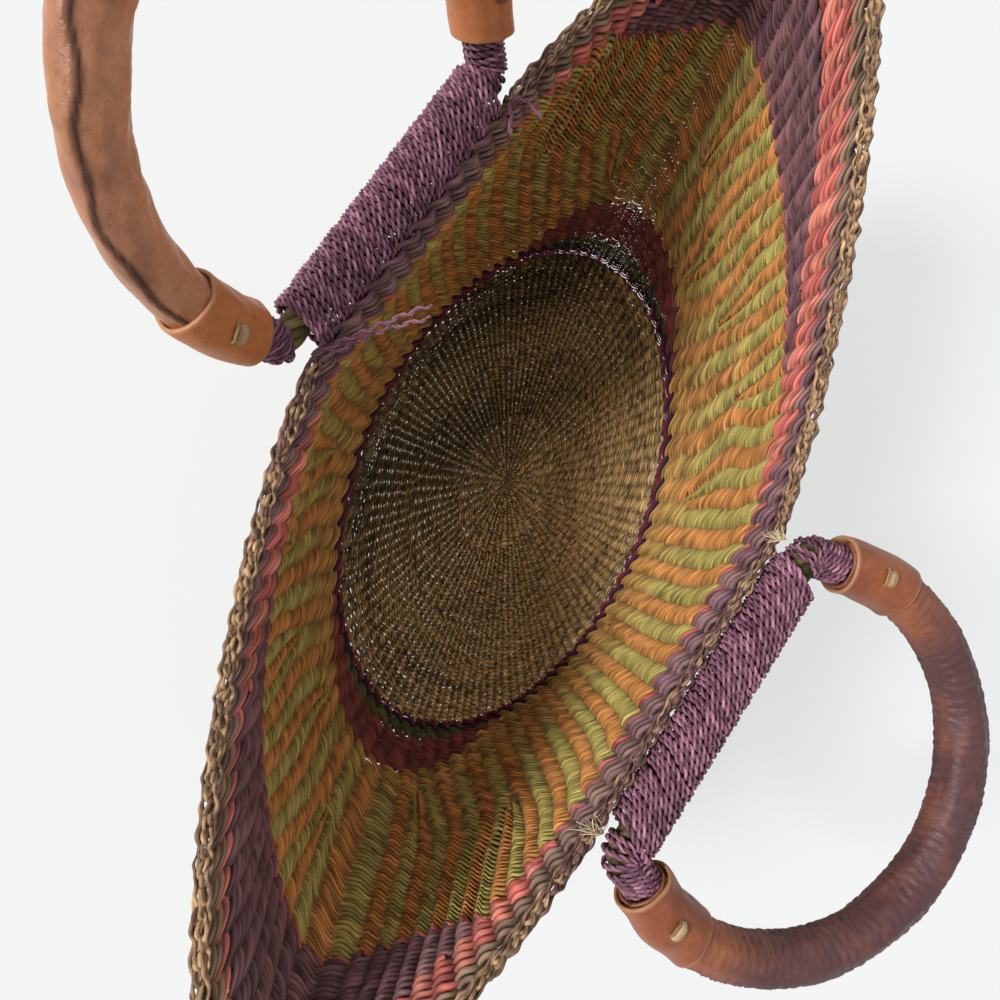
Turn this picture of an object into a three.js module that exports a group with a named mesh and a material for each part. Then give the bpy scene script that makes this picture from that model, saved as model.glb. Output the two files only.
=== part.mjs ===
// A hand-woven straw market basket, boat shaped, with two leather-covered ring handles lashed to its rim.
// Millimetres, +Z up. The origin lies on the flat underside, below the middle of the rim, and X runs along
// the two handle bars. The rim looks the same after half a turn about Z, so half of it is made and turned.
import * as THREE from "three";

// Floor: an oval, measured on the middle of the weave, a little off the middle of the rim
const floorHalfLength = 190;
const floorHalfWidth = 111;
const floorShift = 12;
const floorTurn = 0.21;
const floorEdgeRise = 14;
const floorFlatShare = 0.86;
// Angle on the oval, from its long axis, where the rib under the middle of a bar starts
const barFootAngle = 1.16;

// Weave and the running gap between neighbouring pieces. The striped wall has a column over each rib, and
// between two ribs it is only this share of its thickness.
const weaveThickness = 5;
const valleyShare = 0.4;
const seatGap = 0.3;
const bandGap = 0.4;

// Rim: a straight stretch beside each bar, and a pointed end that rises
const wallHeight = 228;
const rimHalfWidth = 114;
const tipReach = 281;
const tipOffset = 52;
const tipRise = 65;
const tipTurn = 0.55;
const tipLongPull = 36;
const tipShortPull = 34;
const cornerTurn = 0.22;
const cornerPull = 127;
const barEndPull = 34;
const wallBulge = 13;
const bulgePower = 0.8;
// How much closer the ribs stand on the floor's ends than on its sides
const footSpreadShare = 0.2;

// Widths of the coloured weft bands, up the wall
const magentaRowWidth = 4;
const navyRowWidth = 4;
const greenWidth = 11;
const maroonWidth = 34;
const plumWidth = 62;
const salmonWidth = 24;
const topRowsWidth = 13;
// A crescent stops where it is narrower than this
const crescentEndWidth = 2;
// How far each crescent reaches from the tip along the rim, on its long side and on its short side
const greenReach = [150, 100];
const maroonReach = [190, 125];
const plumReach = [240, 105];
const salmonReach = [300, 130];

// Plaited rim
const plaitWidth = 8;
const plaitHeight = 8;
const plaitGap = 0.6;

// Handles: a straw-rope ring whose straight bar is lashed to the rim, with a little bar left bare at each
// end. The loop swells out past the bar's ends.
const lashingLength = 150;
const barBareLength = 5;
const barLength = lashingLength + 2 * barBareLength;
const barShift = 52;
const loopSwellWidth = 18;
const loopRadius = barLength / 2 + loopSwellWidth;
const coreRadius = 10;
const coverWall = 2.7;
const collarWall = 2;
const collarLength = 38;
const collarLegGap = 3;
const legAngle = 0.44;
const leftSplay = 0.5;
const rightSplay = 1.75;
const bendPull = 9;
const bendLead = 1.5;

// Lashing: one flat cord wound over each bar
const lashingTurns = 23.5;
const lashingThickness = 2.4;
const lashingWidth = 5.4;

// Knots that pin the collars
const knotRadius = 5;
const knotTopRadius = 4;
const knotHeight = 3;

// Loose ends of the lashing cord and frayed straw beside the right bar
const looseEndDiameter = 2.2;
const tuftRadius = 3;
const tuftLength = 16;

// Facets
const aroundSteps = 62;
const columnsPerStep = 2;
const tubeSides = 8;
const plaitSides = 6;
const lashingSides = 4;
const lashingSteps = 12;
const coverSteps = 30;
const coreArcSteps = 14;
const bendSteps = 4;
const collarSteps = 3;

const fullTurn = 2 * Math.PI;
const up = new THREE.Vector3(0, 0, 1);

function straw(color, roughness = 0.8) {
  return new THREE.MeshStandardMaterial({ color, roughness, metalness: 0 });
}

const colours = {
  floor: straw(0x5d4c22),
  magenta: straw(0x8c2846),
  navy: straw(0x1f1a3c),
  green: straw(0x4c5a2a),
  maroon: straw(0x6e2a2e),
  striped: straw(0xa8863c),
  plum: straw(0x4a2b36),
  salmon: straw(0xa94a45),
  topRows: straw(0x5e3f4c),
  plait: straw(0x8a6f45),
  lashing: straw(0x6d3f5c, 0.6),
  core: straw(0x8a7440),
  knot: straw(0x9a7a4c),
  leather: straw(0x7d4126, 0.5),
  collar: straw(0xb8652f, 0.45),
};

const basket = new THREE.Group();

function addPiece(name, geometry, material, parent = basket) {
  const mesh = new THREE.Mesh(geometry, material);
  mesh.name = name;
  parent.add(mesh);
  return mesh;
}

// Closed body from a list of Vector3 and a list of triangles
function solid(points, triangles) {
  const geometry = new THREE.BufferGeometry();
  geometry.setAttribute("position", new THREE.Float32BufferAttribute(points.flatMap((p) => p.toArray()), 3));
  geometry.setIndex(triangles.flat());
  geometry.computeVertexNormals();
  return geometry;
}

// Faces of a tube: rings of equally many points, joined in order, with its two end caps or closed on itself
function ringFaces(ringCount, sides, closed) {
  const triangles = [];
  const spans = closed ? ringCount : ringCount - 1;
  for (let ring = 0; ring < spans; ring += 1) {
    const next = (ring + 1) % ringCount;
    for (let side = 0; side < sides; side += 1) {
      const turn = (side + 1) % sides;
      const a = ring * sides + side;
      const b = ring * sides + turn;
      const c = next * sides + turn;
      const d = next * sides + side;
      // The last side is split the other way, so that the edges of neighbouring bands match
      triangles.push(...(turn === 0 ? [[a, b, d], [b, c, d]] : [[a, b, c], [a, c, d]]));
    }
  }
  if (!closed) {
    const last = (ringCount - 1) * sides;
    for (let side = 1; side < sides - 1; side += 1) {
      triangles.push([0, side + 1, side], [last, last + side, last + side + 1]);
    }
  }
  return triangles;
}

// Rim curve
function halfTurned(point) {
  return new THREE.Vector3(-point.x, -point.y, point.z);
}

function rimHalf() {
  const middle = new THREE.Vector3(-barShift, -rimHalfWidth, wallHeight);
  const corner = new THREE.Vector3(barLength / 2 - barShift, -rimHalfWidth, wallHeight);
  const tip = new THREE.Vector3(tipReach, tipOffset, wallHeight + tipRise);
  const outerEnd = new THREE.Vector3(barShift + barLength / 2, rimHalfWidth, wallHeight);
  const nextMiddle = halfTurned(middle);
  const tipAlong = new THREE.Vector3(-Math.sin(tipTurn), Math.cos(tipTurn), 0);
  const cornerAlong = new THREE.Vector3(Math.cos(cornerTurn), Math.sin(cornerTurn), 0);
  return [
    [middle, corner],
    [
      corner,
      corner.clone().addScaledVector(cornerAlong, cornerPull),
      tip.clone().addScaledVector(tipAlong, -tipLongPull),
      tip,
    ],
    [
      tip,
      tip.clone().addScaledVector(tipAlong, tipShortPull),
      outerEnd.clone().add(new THREE.Vector3(barEndPull, 0, 0)),
      outerEnd,
    ],
    [outerEnd, nextMiddle],
  ];
}

const rimPath = new THREE.CurvePath();
for (const turned of [false, true]) {
  for (const stretch of rimHalf()) {
    const points = turned ? stretch.map(halfTurned) : stretch;
    const Curve = points.length === 2 ? THREE.LineCurve3 : THREE.CubicBezierCurve3;
    rimPath.add(new Curve(...points));
  }
}
const rimLengths = rimPath.getCurveLengths();
const rimLength = rimLengths[rimLengths.length - 1];
const tipShare = rimLengths[1] / rimLength;

function wrap(share) {
  return share - Math.floor(share);
}

// Where a rib of the rim starts on the floor's oval: the ribs of a tip start at the oval's end
const ovalStart = Math.PI + barFootAngle;
const ovalEnd = ovalStart + fullTurn;
const oval = new THREE.EllipseCurve(
  0,
  0,
  floorHalfLength,
  floorHalfWidth,
  ovalStart,
  ovalEnd,
  false,
  floorTurn,
);
const ovalLengths = oval.getLengths(aroundSteps * tubeSides);
const ovalTipAt = ((Math.PI - barFootAngle) / fullTurn) * (ovalLengths.length - 1);
const ovalTipShare = ovalLengths[Math.round(ovalTipAt)] / ovalLengths[ovalLengths.length - 1];
const spreadAt = (share) => (footSpreadShare / (2 * fullTurn)) * Math.sin(2 * fullTurn * share);
const shiftAt = (share) => (1 - Math.cos(2 * fullTurn * share)) / 2;
const footShiftShare = (ovalTipShare - tipShare - spreadAt(tipShare)) / shiftAt(tipShare);

function footPoint(around) {
  const share = wrap(around);
  const point = oval.getPointAt(wrap(share + spreadAt(share) + footShiftShare * shiftAt(share)));
  return new THREE.Vector3(point.x + floorShift, point.y, floorEdgeRise);
}

function rimPoint(around) {
  return rimPath.getPoint(wrap(around));
}

// Middle of the weave: out is 0 at the centre of the floor, 1 at its edge and 2 at the top of the wall
const probeShare = 0.02;
const nearShare = 0.005;

function flatWallPoint(around, rise) {
  return footPoint(around).lerp(rimPoint(around), rise);
}

function wallPoint(around, rise) {
  const along = flatWallPoint(around + nearShare, rise).sub(flatWallPoint(around - nearShare, rise));
  const outward = new THREE.Vector3(along.y, -along.x, 0).normalize();
  const swell = rise > 0 && rise < 1 ? Math.sin(Math.PI * rise ** bulgePower) : 0;
  return flatWallPoint(around, rise).addScaledVector(outward, wallBulge * swell);
}

function floorMiddle() {
  return new THREE.Vector3(floorShift, 0, weaveThickness / 2);
}

function floorPoint(around, share) {
  const climb = Math.max(0, (share - floorFlatShare) / (1 - floorFlatShare));
  const point = floorMiddle().lerp(footPoint(around), share);
  point.z = weaveThickness / 2 + (floorEdgeRise - weaveThickness / 2) * climb ** 2;
  return point;
}

function weavePoint(around, out) {
  return out > 1 ? wallPoint(around, out - 1) : floorPoint(around, out);
}

function weaveNormal(around, out) {
  const low = Math.max(probeShare, out - probeShare);
  const high = Math.min(2, out + probeShare);
  const along = weavePoint(around + nearShare, out).sub(weavePoint(around - nearShare, out));
  const upward = weavePoint(around, high).sub(weavePoint(around, low));
  return along.cross(upward).normalize();
}

function wallLength(around) {
  return footPoint(around).distanceTo(rimPoint(around));
}

// The right bar's middle is at 0 round the rim, and the left bar's here
const leftBarShare = 1 / 2;

// Places on the wall in millimetres from its foot or down from its top
const fromFoot = (around, width) => 1 + width / wallLength(around);
const fromTop = (around, width) => 2 - width / wallLength(around);

// Width of a crescent, full at the tip and nothing at the end of its reach
function crescentWidth(around, width, reach) {
  const past = wrap(around - tipShare + 0.25) % 0.5 - 0.25;
  const distance = Math.abs(past) * rimLength;
  const limit = past < 0 ? reach[0] : reach[1];
  return distance < limit ? width * Math.cos((Math.PI / 2) * (distance / limit)) : 0;
}

const greenAt = (around) => crescentWidth(around, greenWidth, greenReach);
const maroonAt = (around) => crescentWidth(around, maroonWidth, maroonReach);
const plumAt = (around) => crescentWidth(around, plumWidth, plumReach);
const salmonAt = (around) => crescentWidth(around, salmonWidth, salmonReach);
const rowsAt = () => magentaRowWidth + navyRowWidth;

// Middle of the weave and its normal at each level between two edges, each edge given as a function of the
// place around the rim
function bandSection(around, lowerEdge, upperEdge, levels) {
  const low = lowerEdge(around);
  const high = upperEdge(around);
  return Array.from({ length: levels + 1 }, (_, level) => {
    const out = low + ((high - low) * level) / levels;
    return { middle: weavePoint(around, out), normal: weaveNormal(around, out) };
  });
}

// Outline of a section of the weave: up its outside and down its inside
function sectionOutline(section, thickness) {
  const offsetBy = (offset) => {
    return section.map(({ middle, normal }) => middle.clone().addScaledVector(normal, offset));
  };
  return [...offsetBy(thickness / 2), ...offsetBy(-thickness / 2).reverse()];
}

function bandSolid(outlines, levels, closed) {
  const faces = ringFaces(outlines.length, 2 * (levels + 1), closed);
  return solid(
    outlines.flat(),
    faces.map(([a, b, c]) => [a, c, b]),
  );
}

function bandGeometry(arounds, lowerEdge, upperEdge, levels, closed) {
  const sections = arounds.map((around) => bandSection(around, lowerEdge, upperEdge, levels));
  const outlines = sections.map((section) => sectionOutline(section, weaveThickness));
  return bandSolid(outlines, levels, closed);
}

// The same band with columns: each step round the rim stays straight and swells over each of its ribs
function columnBandGeometry(arounds, lowerEdge, upperEdge, levels) {
  const sections = arounds.map((around) => bandSection(around, lowerEdge, upperEdge, levels));
  const outlines = [];
  for (const [index, section] of sections.entries()) {
    const next = sections[(index + 1) % sections.length];
    for (let part = 0; part < 2 * columnsPerStep; part += 1) {
      const share = part / (2 * columnsPerStep);
      const between = section.map(({ middle, normal }, level) => ({
        middle: middle.clone().lerp(next[level].middle, share),
        normal: normal.clone().lerp(next[level].normal, share),
      }));
      const overRib = part % 2 === 1;
      outlines.push(sectionOutline(between, overRib ? weaveThickness : valleyShare * weaveThickness));
    }
  }
  return bandSolid(outlines, levels, true);
}

const allAround = Array.from({ length: aroundSteps }, (_, index) => index / aroundSteps);

function addBand(name, material, lowerEdge, upperEdge, levels) {
  addPiece(name, bandGeometry(allAround, lowerEdge, upperEdge, levels, true), material);
}

// One crescent at each tip, over the places where it is wide enough
function addCrescents(name, material, widthAt, lowerEdge, upperEdge, levels) {
  for (const [index, end] of ["front", "back"].entries()) {
    const start = tipShare + index / 2 - 0.25;
    const arounds = Array.from({ length: aroundSteps / 2 }, (_, step) => {
      return (Math.ceil(start * aroundSteps) + step) / aroundSteps;
    }).filter((around) => widthAt(around) > crescentEndWidth);
    addPiece(`${name}_${end}`, bandGeometry(arounds, lowerEdge, upperEdge, levels, false), material);
  }
}

// Floor disc
function floorGeometry() {
  const rings = [floorFlatShare / 2, floorFlatShare, (1 + floorFlatShare) / 2, 1];
  const half = weaveThickness / 2;
  const points = [-half, half].map((height) => floorMiddle().addScaledVector(up, height));
  const triangles = [];
  const place = (side, ring, step) => 2 + (side * rings.length + ring) * aroundSteps + (step % aroundSteps);
  const quad = (side, ring, step) => [
    place(side, ring, step),
    place(side, ring, step + 1),
    place(side, ring + 1, step + 1),
    place(side, ring + 1, step),
  ];
  for (const side of [1, -1]) {
    for (const share of rings) {
      for (const around of allAround) {
        const inset = share === 1 ? 1 - bandGap / footPoint(around).distanceTo(floorMiddle()) : share;
        const normal = share > floorFlatShare ? weaveNormal(around, inset) : up.clone().negate();
        points.push(weavePoint(around, inset).addScaledVector(normal, side * half));
      }
    }
  }
  for (let step = 0; step < aroundSteps; step += 1) {
    triangles.push([0, place(0, 0, step + 1), place(0, 0, step)]);
    triangles.push([1, place(1, 0, step), place(1, 0, step + 1)]);
    for (let ring = 0; ring < rings.length - 1; ring += 1) {
      const under = quad(0, ring, step);
      const over = quad(1, ring, step);
      triangles.push([under[0], under[1], under[2]], [under[0], under[2], under[3]]);
      triangles.push([over[0], over[2], over[1]], [over[0], over[3], over[2]]);
    }
    const outer = rings.length - 1;
    triangles.push([place(0, outer, step), place(0, outer, step + 1), place(1, outer, step + 1)]);
    triangles.push([place(0, outer, step), place(1, outer, step + 1), place(1, outer, step)]);
  }
  return solid(points, triangles);
}

// Plait that sits along the top of the wall
function plaitGeometry() {
  const points = [];
  const flat = plaitHeight / 2 / Math.sin(Math.PI / 3);
  for (const around of allAround) {
    const normal = weaveNormal(around, 2);
    const top = weavePoint(around, 2);
    const upward = top.clone().sub(weavePoint(around, 2 - probeShare)).normalize();
    const centre = top.addScaledVector(upward, plaitGap + plaitHeight / 2);
    for (let side = 0; side < plaitSides; side += 1) {
      const angle = (side / plaitSides) * fullTurn;
      points.push(
        centre
          .clone()
          .addScaledVector(normal, (plaitWidth / 2) * Math.cos(angle))
          .addScaledVector(upward, flat * Math.sin(angle)),
      );
    }
  }
  return solid(points, ringFaces(aroundSteps, plaitSides, true).map(([a, b, c]) => [a, c, b]));
}

addPiece("floor_weave", floorGeometry(), colours.floor);
addBand(
  "magenta_row",
  colours.magenta,
  () => 1,
  (around) => fromFoot(around, magentaRowWidth - bandGap),
  1,
);
addBand(
  "navy_row",
  colours.navy,
  (around) => fromFoot(around, magentaRowWidth),
  (around) => fromFoot(around, rowsAt() - bandGap),
  1,
);
addCrescents(
  "green_crescent",
  colours.green,
  greenAt,
  (around) => fromFoot(around, rowsAt()),
  (around) => fromFoot(around, rowsAt() + greenAt(around) - bandGap),
  1,
);
addCrescents(
  "maroon_crescent",
  colours.maroon,
  maroonAt,
  (around) => fromFoot(around, rowsAt() + greenAt(around)),
  (around) => fromFoot(around, rowsAt() + greenAt(around) + maroonAt(around) - bandGap),
  1,
);
addPiece(
  "striped_wall",
  columnBandGeometry(
    allAround,
    (around) => fromFoot(around, rowsAt() + greenAt(around) + maroonAt(around)),
    (around) => fromTop(around, topRowsWidth + salmonAt(around) + plumAt(around) + bandGap),
    4,
  ),
  colours.striped,
);
addCrescents(
  "plum_crescent",
  colours.plum,
  plumAt,
  (around) => fromTop(around, topRowsWidth + salmonAt(around) + plumAt(around)),
  (around) => fromTop(around, topRowsWidth + salmonAt(around) + bandGap),
  2,
);
addCrescents(
  "salmon_crescent",
  colours.salmon,
  salmonAt,
  (around) => fromTop(around, topRowsWidth + salmonAt(around)),
  (around) => fromTop(around, topRowsWidth + bandGap),
  1,
);
addBand("top_rows", colours.topRows, (around) => fromTop(around, topRowsWidth), () => 2, 1);
addPiece("rim_plait", plaitGeometry(), colours.plait);

// Lashing: its facets stay clear of the bar, and its outside sits against the plait
const lashingInner = (coreRadius + seatGap) / Math.cos(Math.PI / lashingSteps);
const lashingOuter = lashingInner + lashingThickness;
const lashingMiddle = lashingInner + lashingThickness / 2;
const barSide = rimHalfWidth + plaitWidth / 2 + seatGap + lashingOuter;
const barHeight = wallHeight + plaitHeight / 2;

// Centre line of a lashing beside the left bar, from its tucked start at the wall to its end over the rim.
// The angle is counted round the bar from straight down, and goes outward first.
function lashingPoints() {
  const steps = Math.round(lashingTurns * lashingSteps);
  const pitch = lashingLength / lashingTurns;
  const points = [];
  const start = -lashingLength / 2;
  const tuckDepth = wallHeight - barHeight + lashingMiddle;
  const wallFace = weavePoint(leftBarShare, fromTop(leftBarShare, tuckDepth)).y + weaveThickness / 2;
  const tuckedLength = barSide - wallFace - seatGap;
  points.push({ point: new THREE.Vector3(start, -tuckedLength, -lashingMiddle), angle: 0 });
  for (let step = 0; step <= steps; step += 1) {
    const angle = (step / lashingSteps) * fullTurn;
    const x = start + (pitch * step) / lashingSteps;
    const point = new THREE.Vector3(x, lashingMiddle * Math.sin(angle), -lashingMiddle * Math.cos(angle));
    points.push({ point, angle });
  }
  const last = points[points.length - 1];
  points.push({ point: last.point.clone().add(new THREE.Vector3(0, -lashingWidth, 0)), angle: last.angle });
  return points;
}

function lashingGeometry() {
  const points = [];
  for (const { point, angle } of lashingPoints()) {
    const radial = new THREE.Vector3(0, Math.sin(angle), -Math.cos(angle));
    const axial = new THREE.Vector3(1, 0, 0);
    for (let side = 0; side < lashingSides; side += 1) {
      const turn = ((side + 0.5) / lashingSides) * fullTurn;
      points.push(
        point
          .clone()
          .addScaledVector(axial, (Math.sign(Math.cos(turn)) * lashingWidth) / 2)
          .addScaledVector(radial, (Math.sign(Math.sin(turn)) * lashingThickness) / 2),
      );
    }
  }
  return solid(points, ringFaces(points.length / lashingSides, lashingSides, false));
}

// Least gap between one turn of the lashing and the next, measured along the bar on its points
function lashingLeastGap() {
  const points = lashingPoints().slice(1, -1);
  let least = Infinity;
  for (let index = 0; index + lashingSteps < points.length; index += 1) {
    const step = points[index + lashingSteps].point.distanceTo(points[index].point);
    least = Math.min(least, step - lashingWidth);
  }
  return least;
}

console.log(`lashing: least gap to itself ${lashingLeastGap().toFixed(2)} mm`);
console.log(`handle axis: y ${barSide.toFixed(3)} z ${barHeight.toFixed(3)} mm`);

const leftLashing = addPiece("left_bar_lashing", lashingGeometry(), colours.lashing);
leftLashing.position.set(barShift, barSide, barHeight);
const rightLashing = addPiece("right_bar_lashing", lashingGeometry(), colours.lashing);
rightLashing.position.set(-barShift, -barSide, barHeight);
rightLashing.rotation.z = Math.PI;

// Handle ring in its own plane: the bar along X at the origin, the loop standing up along Z
const loopCentre = Math.sqrt(loopRadius ** 2 - (barLength / 2) ** 2);

function onLoop(angle) {
  return new THREE.Vector3(loopRadius * Math.cos(angle), 0, loopCentre + loopRadius * Math.sin(angle));
}

function alongLoop(angle) {
  return new THREE.Vector3(-Math.sin(angle), 0, Math.cos(angle));
}

// A path whose stations are given points, so that straight stretches start and end exactly on a station
class StationPath extends THREE.Curve {
  constructor(points) {
    super();
    this.points = points;
    this.steps = points.length - 1;
  }

  getPoint(share) {
    const station = Math.min(Math.floor(share * this.steps), this.steps - 1);
    return this.points[station].clone().lerp(this.points[station + 1], share * this.steps - station);
  }

  getPointAt(share) {
    return this.getPoint(share);
  }

  getTangentAt(share) {
    return this.getTangent(share);
  }
}

function loopStations(from, to, steps) {
  return Array.from({ length: steps + 1 }, (_, index) => onLoop(from + ((to - from) * index) / steps));
}

// The rope ring starts and ends at a splice at the top of the loop, under the leather
function coreStations() {
  const straight = lashingLength / 2 + lashingWidth / 2 + bendLead;
  const splice = seatGap / loopRadius / 2;
  const leg = -legAngle;
  const barEnd = new THREE.Vector3(straight, 0, 0);
  const bend = new THREE.CubicBezierCurve3(
    onLoop(leg),
    onLoop(leg).addScaledVector(alongLoop(leg), -bendPull),
    barEnd.clone().add(new THREE.Vector3(bendPull, 0, 0)),
    barEnd,
  );
  const arc = loopStations(Math.PI / 2 - splice, leg, coreArcSteps);
  const half = [...arc, ...bend.getPoints(bendSteps).slice(1)];
  const mirrored = half.map((point) => new THREE.Vector3(-point.x, point.y, point.z)).reverse();
  return [...half, ...mirrored];
}

function circleShape(radius, boreRadius = 0) {
  const outline = (size) =>
    Array.from({ length: tubeSides }, (_, index) => {
      const angle = ((index + 0.5) / tubeSides) * fullTurn;
      return new THREE.Vector2(size * Math.cos(angle), size * Math.sin(angle));
    });
  const shape = new THREE.Shape(outline(radius));
  if (boreRadius > 0) {
    shape.holes.push(new THREE.Path(outline(boreRadius)));
  }
  return shape;
}

function tubeAlong(stations, shape) {
  const path = new StationPath(stations);
  return new THREE.ExtrudeGeometry(shape, { steps: path.steps, extrudePath: path, bevelEnabled: false });
}

// A bore round a faceted tube is opened by this factor, so that flat on flat keeps the gap
const facetShare = 1 / Math.cos(Math.PI / tubeSides);
const coverBore = coreRadius + seatGap * facetShare;
const coverRadius = coverBore + coverWall;
const collarBore = coverRadius + seatGap * facetShare;
const collarRadius = collarBore + collarWall;

function addHandle(side, x, y, splay) {
  const frame = new THREE.Group();
  frame.position.set(x, y, barHeight);
  frame.rotation.x = splay;
  basket.add(frame);
  addPiece(`${side}_handle_core`, tubeAlong(coreStations(), circleShape(coreRadius)), colours.core, frame);
  const coverEnd = -legAngle + collarLegGap / loopRadius;
  const cover = loopStations(coverEnd, Math.PI - coverEnd, coverSteps);
  const coverShape = circleShape(coverRadius, coverBore);
  addPiece(`${side}_leather_cover`, tubeAlong(cover, coverShape), colours.leather, frame);
  const collarSpan = collarLength / loopRadius;
  for (const [end, from, to] of [
    ["right", coverEnd, coverEnd + collarSpan],
    ["left", Math.PI - coverEnd - collarSpan, Math.PI - coverEnd],
  ]) {
    const collar = tubeAlong(loopStations(from, to, collarSteps), circleShape(collarRadius, collarBore));
    addPiece(`${side}_handle_collar_${end}`, collar, colours.collar, frame);
    const middle = (from + to) / 2;
    const knot = addPiece(
      `${side}_handle_knot_${end}`,
      new THREE.CylinderGeometry(knotTopRadius, knotRadius, knotHeight, tubeSides),
      colours.knot,
      frame,
    );
    const inward = side === "left" ? -1 : 1;
    knot.position.copy(onLoop(middle));
    knot.position.y = inward * (collarRadius / facetShare + seatGap + knotHeight / 2);
    knot.rotation.x = inward < 0 ? Math.PI : 0;
  }
}

addHandle("left", barShift, barSide, -leftSplay);
addHandle("right", -barShift, -barSide, rightSplay);

// Loose ends of the lashing cord: each route is counted from the top of the plait at one end of the left bar
const plaitTop = wallHeight + plaitGap + plaitHeight;
const innerEnd = new THREE.Vector3(barShift - barLength / 2, rimHalfWidth, plaitTop);
const outerEnd = new THREE.Vector3(barShift + barLength / 2, rimHalfWidth, plaitTop);
const looseEnds = [
  [
    "long_cord_end_1",
    innerEnd,
    [[-3, 1, 1.8], [12, -6.5, 4.4], [26, -15.5, 7.4], [38, -22.5, 7.4], [50, -29, 4.4]],
  ],
  [
    "long_cord_end_2",
    innerEnd,
    [[-1, -3, 1.8], [13, -10, 3.4], [27, -18.5, 5.4], [37, -26.5, 5.4], [45, -32, 3.4]],
  ],
  ["short_cord_end_1", outerEnd, [[-6, -2, 1.8], [-10, -5, 3.4], [-15, -8.5, 4.4], [-20, -11, 3.4]]],
  ["short_cord_end_2", outerEnd, [[-2, -1.5, 1.8], [-1, -7, 3.4], [-1.5, -13, 4.4], [-4, -18.5, 3.4]]],
];
for (const [name, start, route] of looseEnds) {
  const path = new THREE.CatmullRomCurve3(route.map((offset) => new THREE.Vector3(...offset).add(start)));
  const steps = Math.round(path.getLength() / looseEndDiameter / 2);
  addPiece(name, tubeAlong(path.getSpacedPoints(steps), circleShape(looseEndDiameter / 2)), colours.lashing);
}

// Frayed straw at the two ends of the right bar, lying on the plait and pointing inward
for (const [name, side] of [["frayed_straw_inner", 1], ["frayed_straw_outer", -1]]) {
  const cone = new THREE.ConeGeometry(tuftRadius, tuftLength, tubeSides).translate(0, tuftLength / 2, 0);
  const tuft = addPiece(name, cone, colours.plait);
  tuft.rotation.z = -Math.PI / 4;
  tuft.position.set((side * barLength) / 2 - barShift, -rimHalfWidth, plaitTop + seatGap + tuftRadius);
}

export default basket;
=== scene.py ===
import math

import bpy
import numpy as np
from bpy.props import FloatProperty, FloatVectorProperty, IntProperty, PointerProperty
from bpy.types import Operator, Panel, PropertyGroup
from mathutils import Matrix, Vector


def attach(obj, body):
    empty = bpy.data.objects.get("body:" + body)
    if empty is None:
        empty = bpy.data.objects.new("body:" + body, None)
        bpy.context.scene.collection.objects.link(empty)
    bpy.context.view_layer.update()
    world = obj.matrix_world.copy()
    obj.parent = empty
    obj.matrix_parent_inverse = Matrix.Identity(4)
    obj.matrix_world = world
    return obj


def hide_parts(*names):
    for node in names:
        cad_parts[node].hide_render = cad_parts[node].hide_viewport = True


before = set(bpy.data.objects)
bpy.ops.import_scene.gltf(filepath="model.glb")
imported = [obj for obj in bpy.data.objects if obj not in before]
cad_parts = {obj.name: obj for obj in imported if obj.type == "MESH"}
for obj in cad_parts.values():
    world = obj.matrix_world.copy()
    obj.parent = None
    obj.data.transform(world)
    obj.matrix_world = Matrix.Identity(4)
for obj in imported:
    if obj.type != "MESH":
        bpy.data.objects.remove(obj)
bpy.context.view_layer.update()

bl_info = {
    "name": "Bolga market basket",
    "version": (1, 0, 0),
    "blender": (4, 5, 0),
    "location": "View3D > Sidebar > Basket",
    "description": "Twined straw basket with plaited rim and two leather-covered ring handles",
    "category": "Add Mesh",
}

FULL_TURN = 2 * math.pi
GOLDEN_SHARE = 0.618
MILLIMETRE = 0.001
BASKET_BODY = "basket"
SIDES = ("left", "right")


# Properties

def size(name, description, metres):
    return FloatProperty(name=name, description=description, default=metres, unit="LENGTH", precision=5)


def share(name, description, value):
    return FloatProperty(name=name, description=description, default=value, precision=4)


def angle(name, description, radians):
    return FloatProperty(name=name, description=description, default=radians, subtype="ANGLE")


def count(name, description, number):
    return IntProperty(name=name, description=description, default=number, min=1)


def linear(code):
    """Linear colour of a six-digit code."""
    channels = [((code >> shift) & 255) / 255 for shift in (16, 8, 0)]
    return [c / 12.92 if c <= 0.04045 else ((c + 0.055) / 1.055) ** 2.4 for c in channels]


def colour(name, description, code):
    return FloatVectorProperty(
        name=name, description=description, default=linear(code), subtype="COLOR", size=3, min=0, max=1
    )


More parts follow.
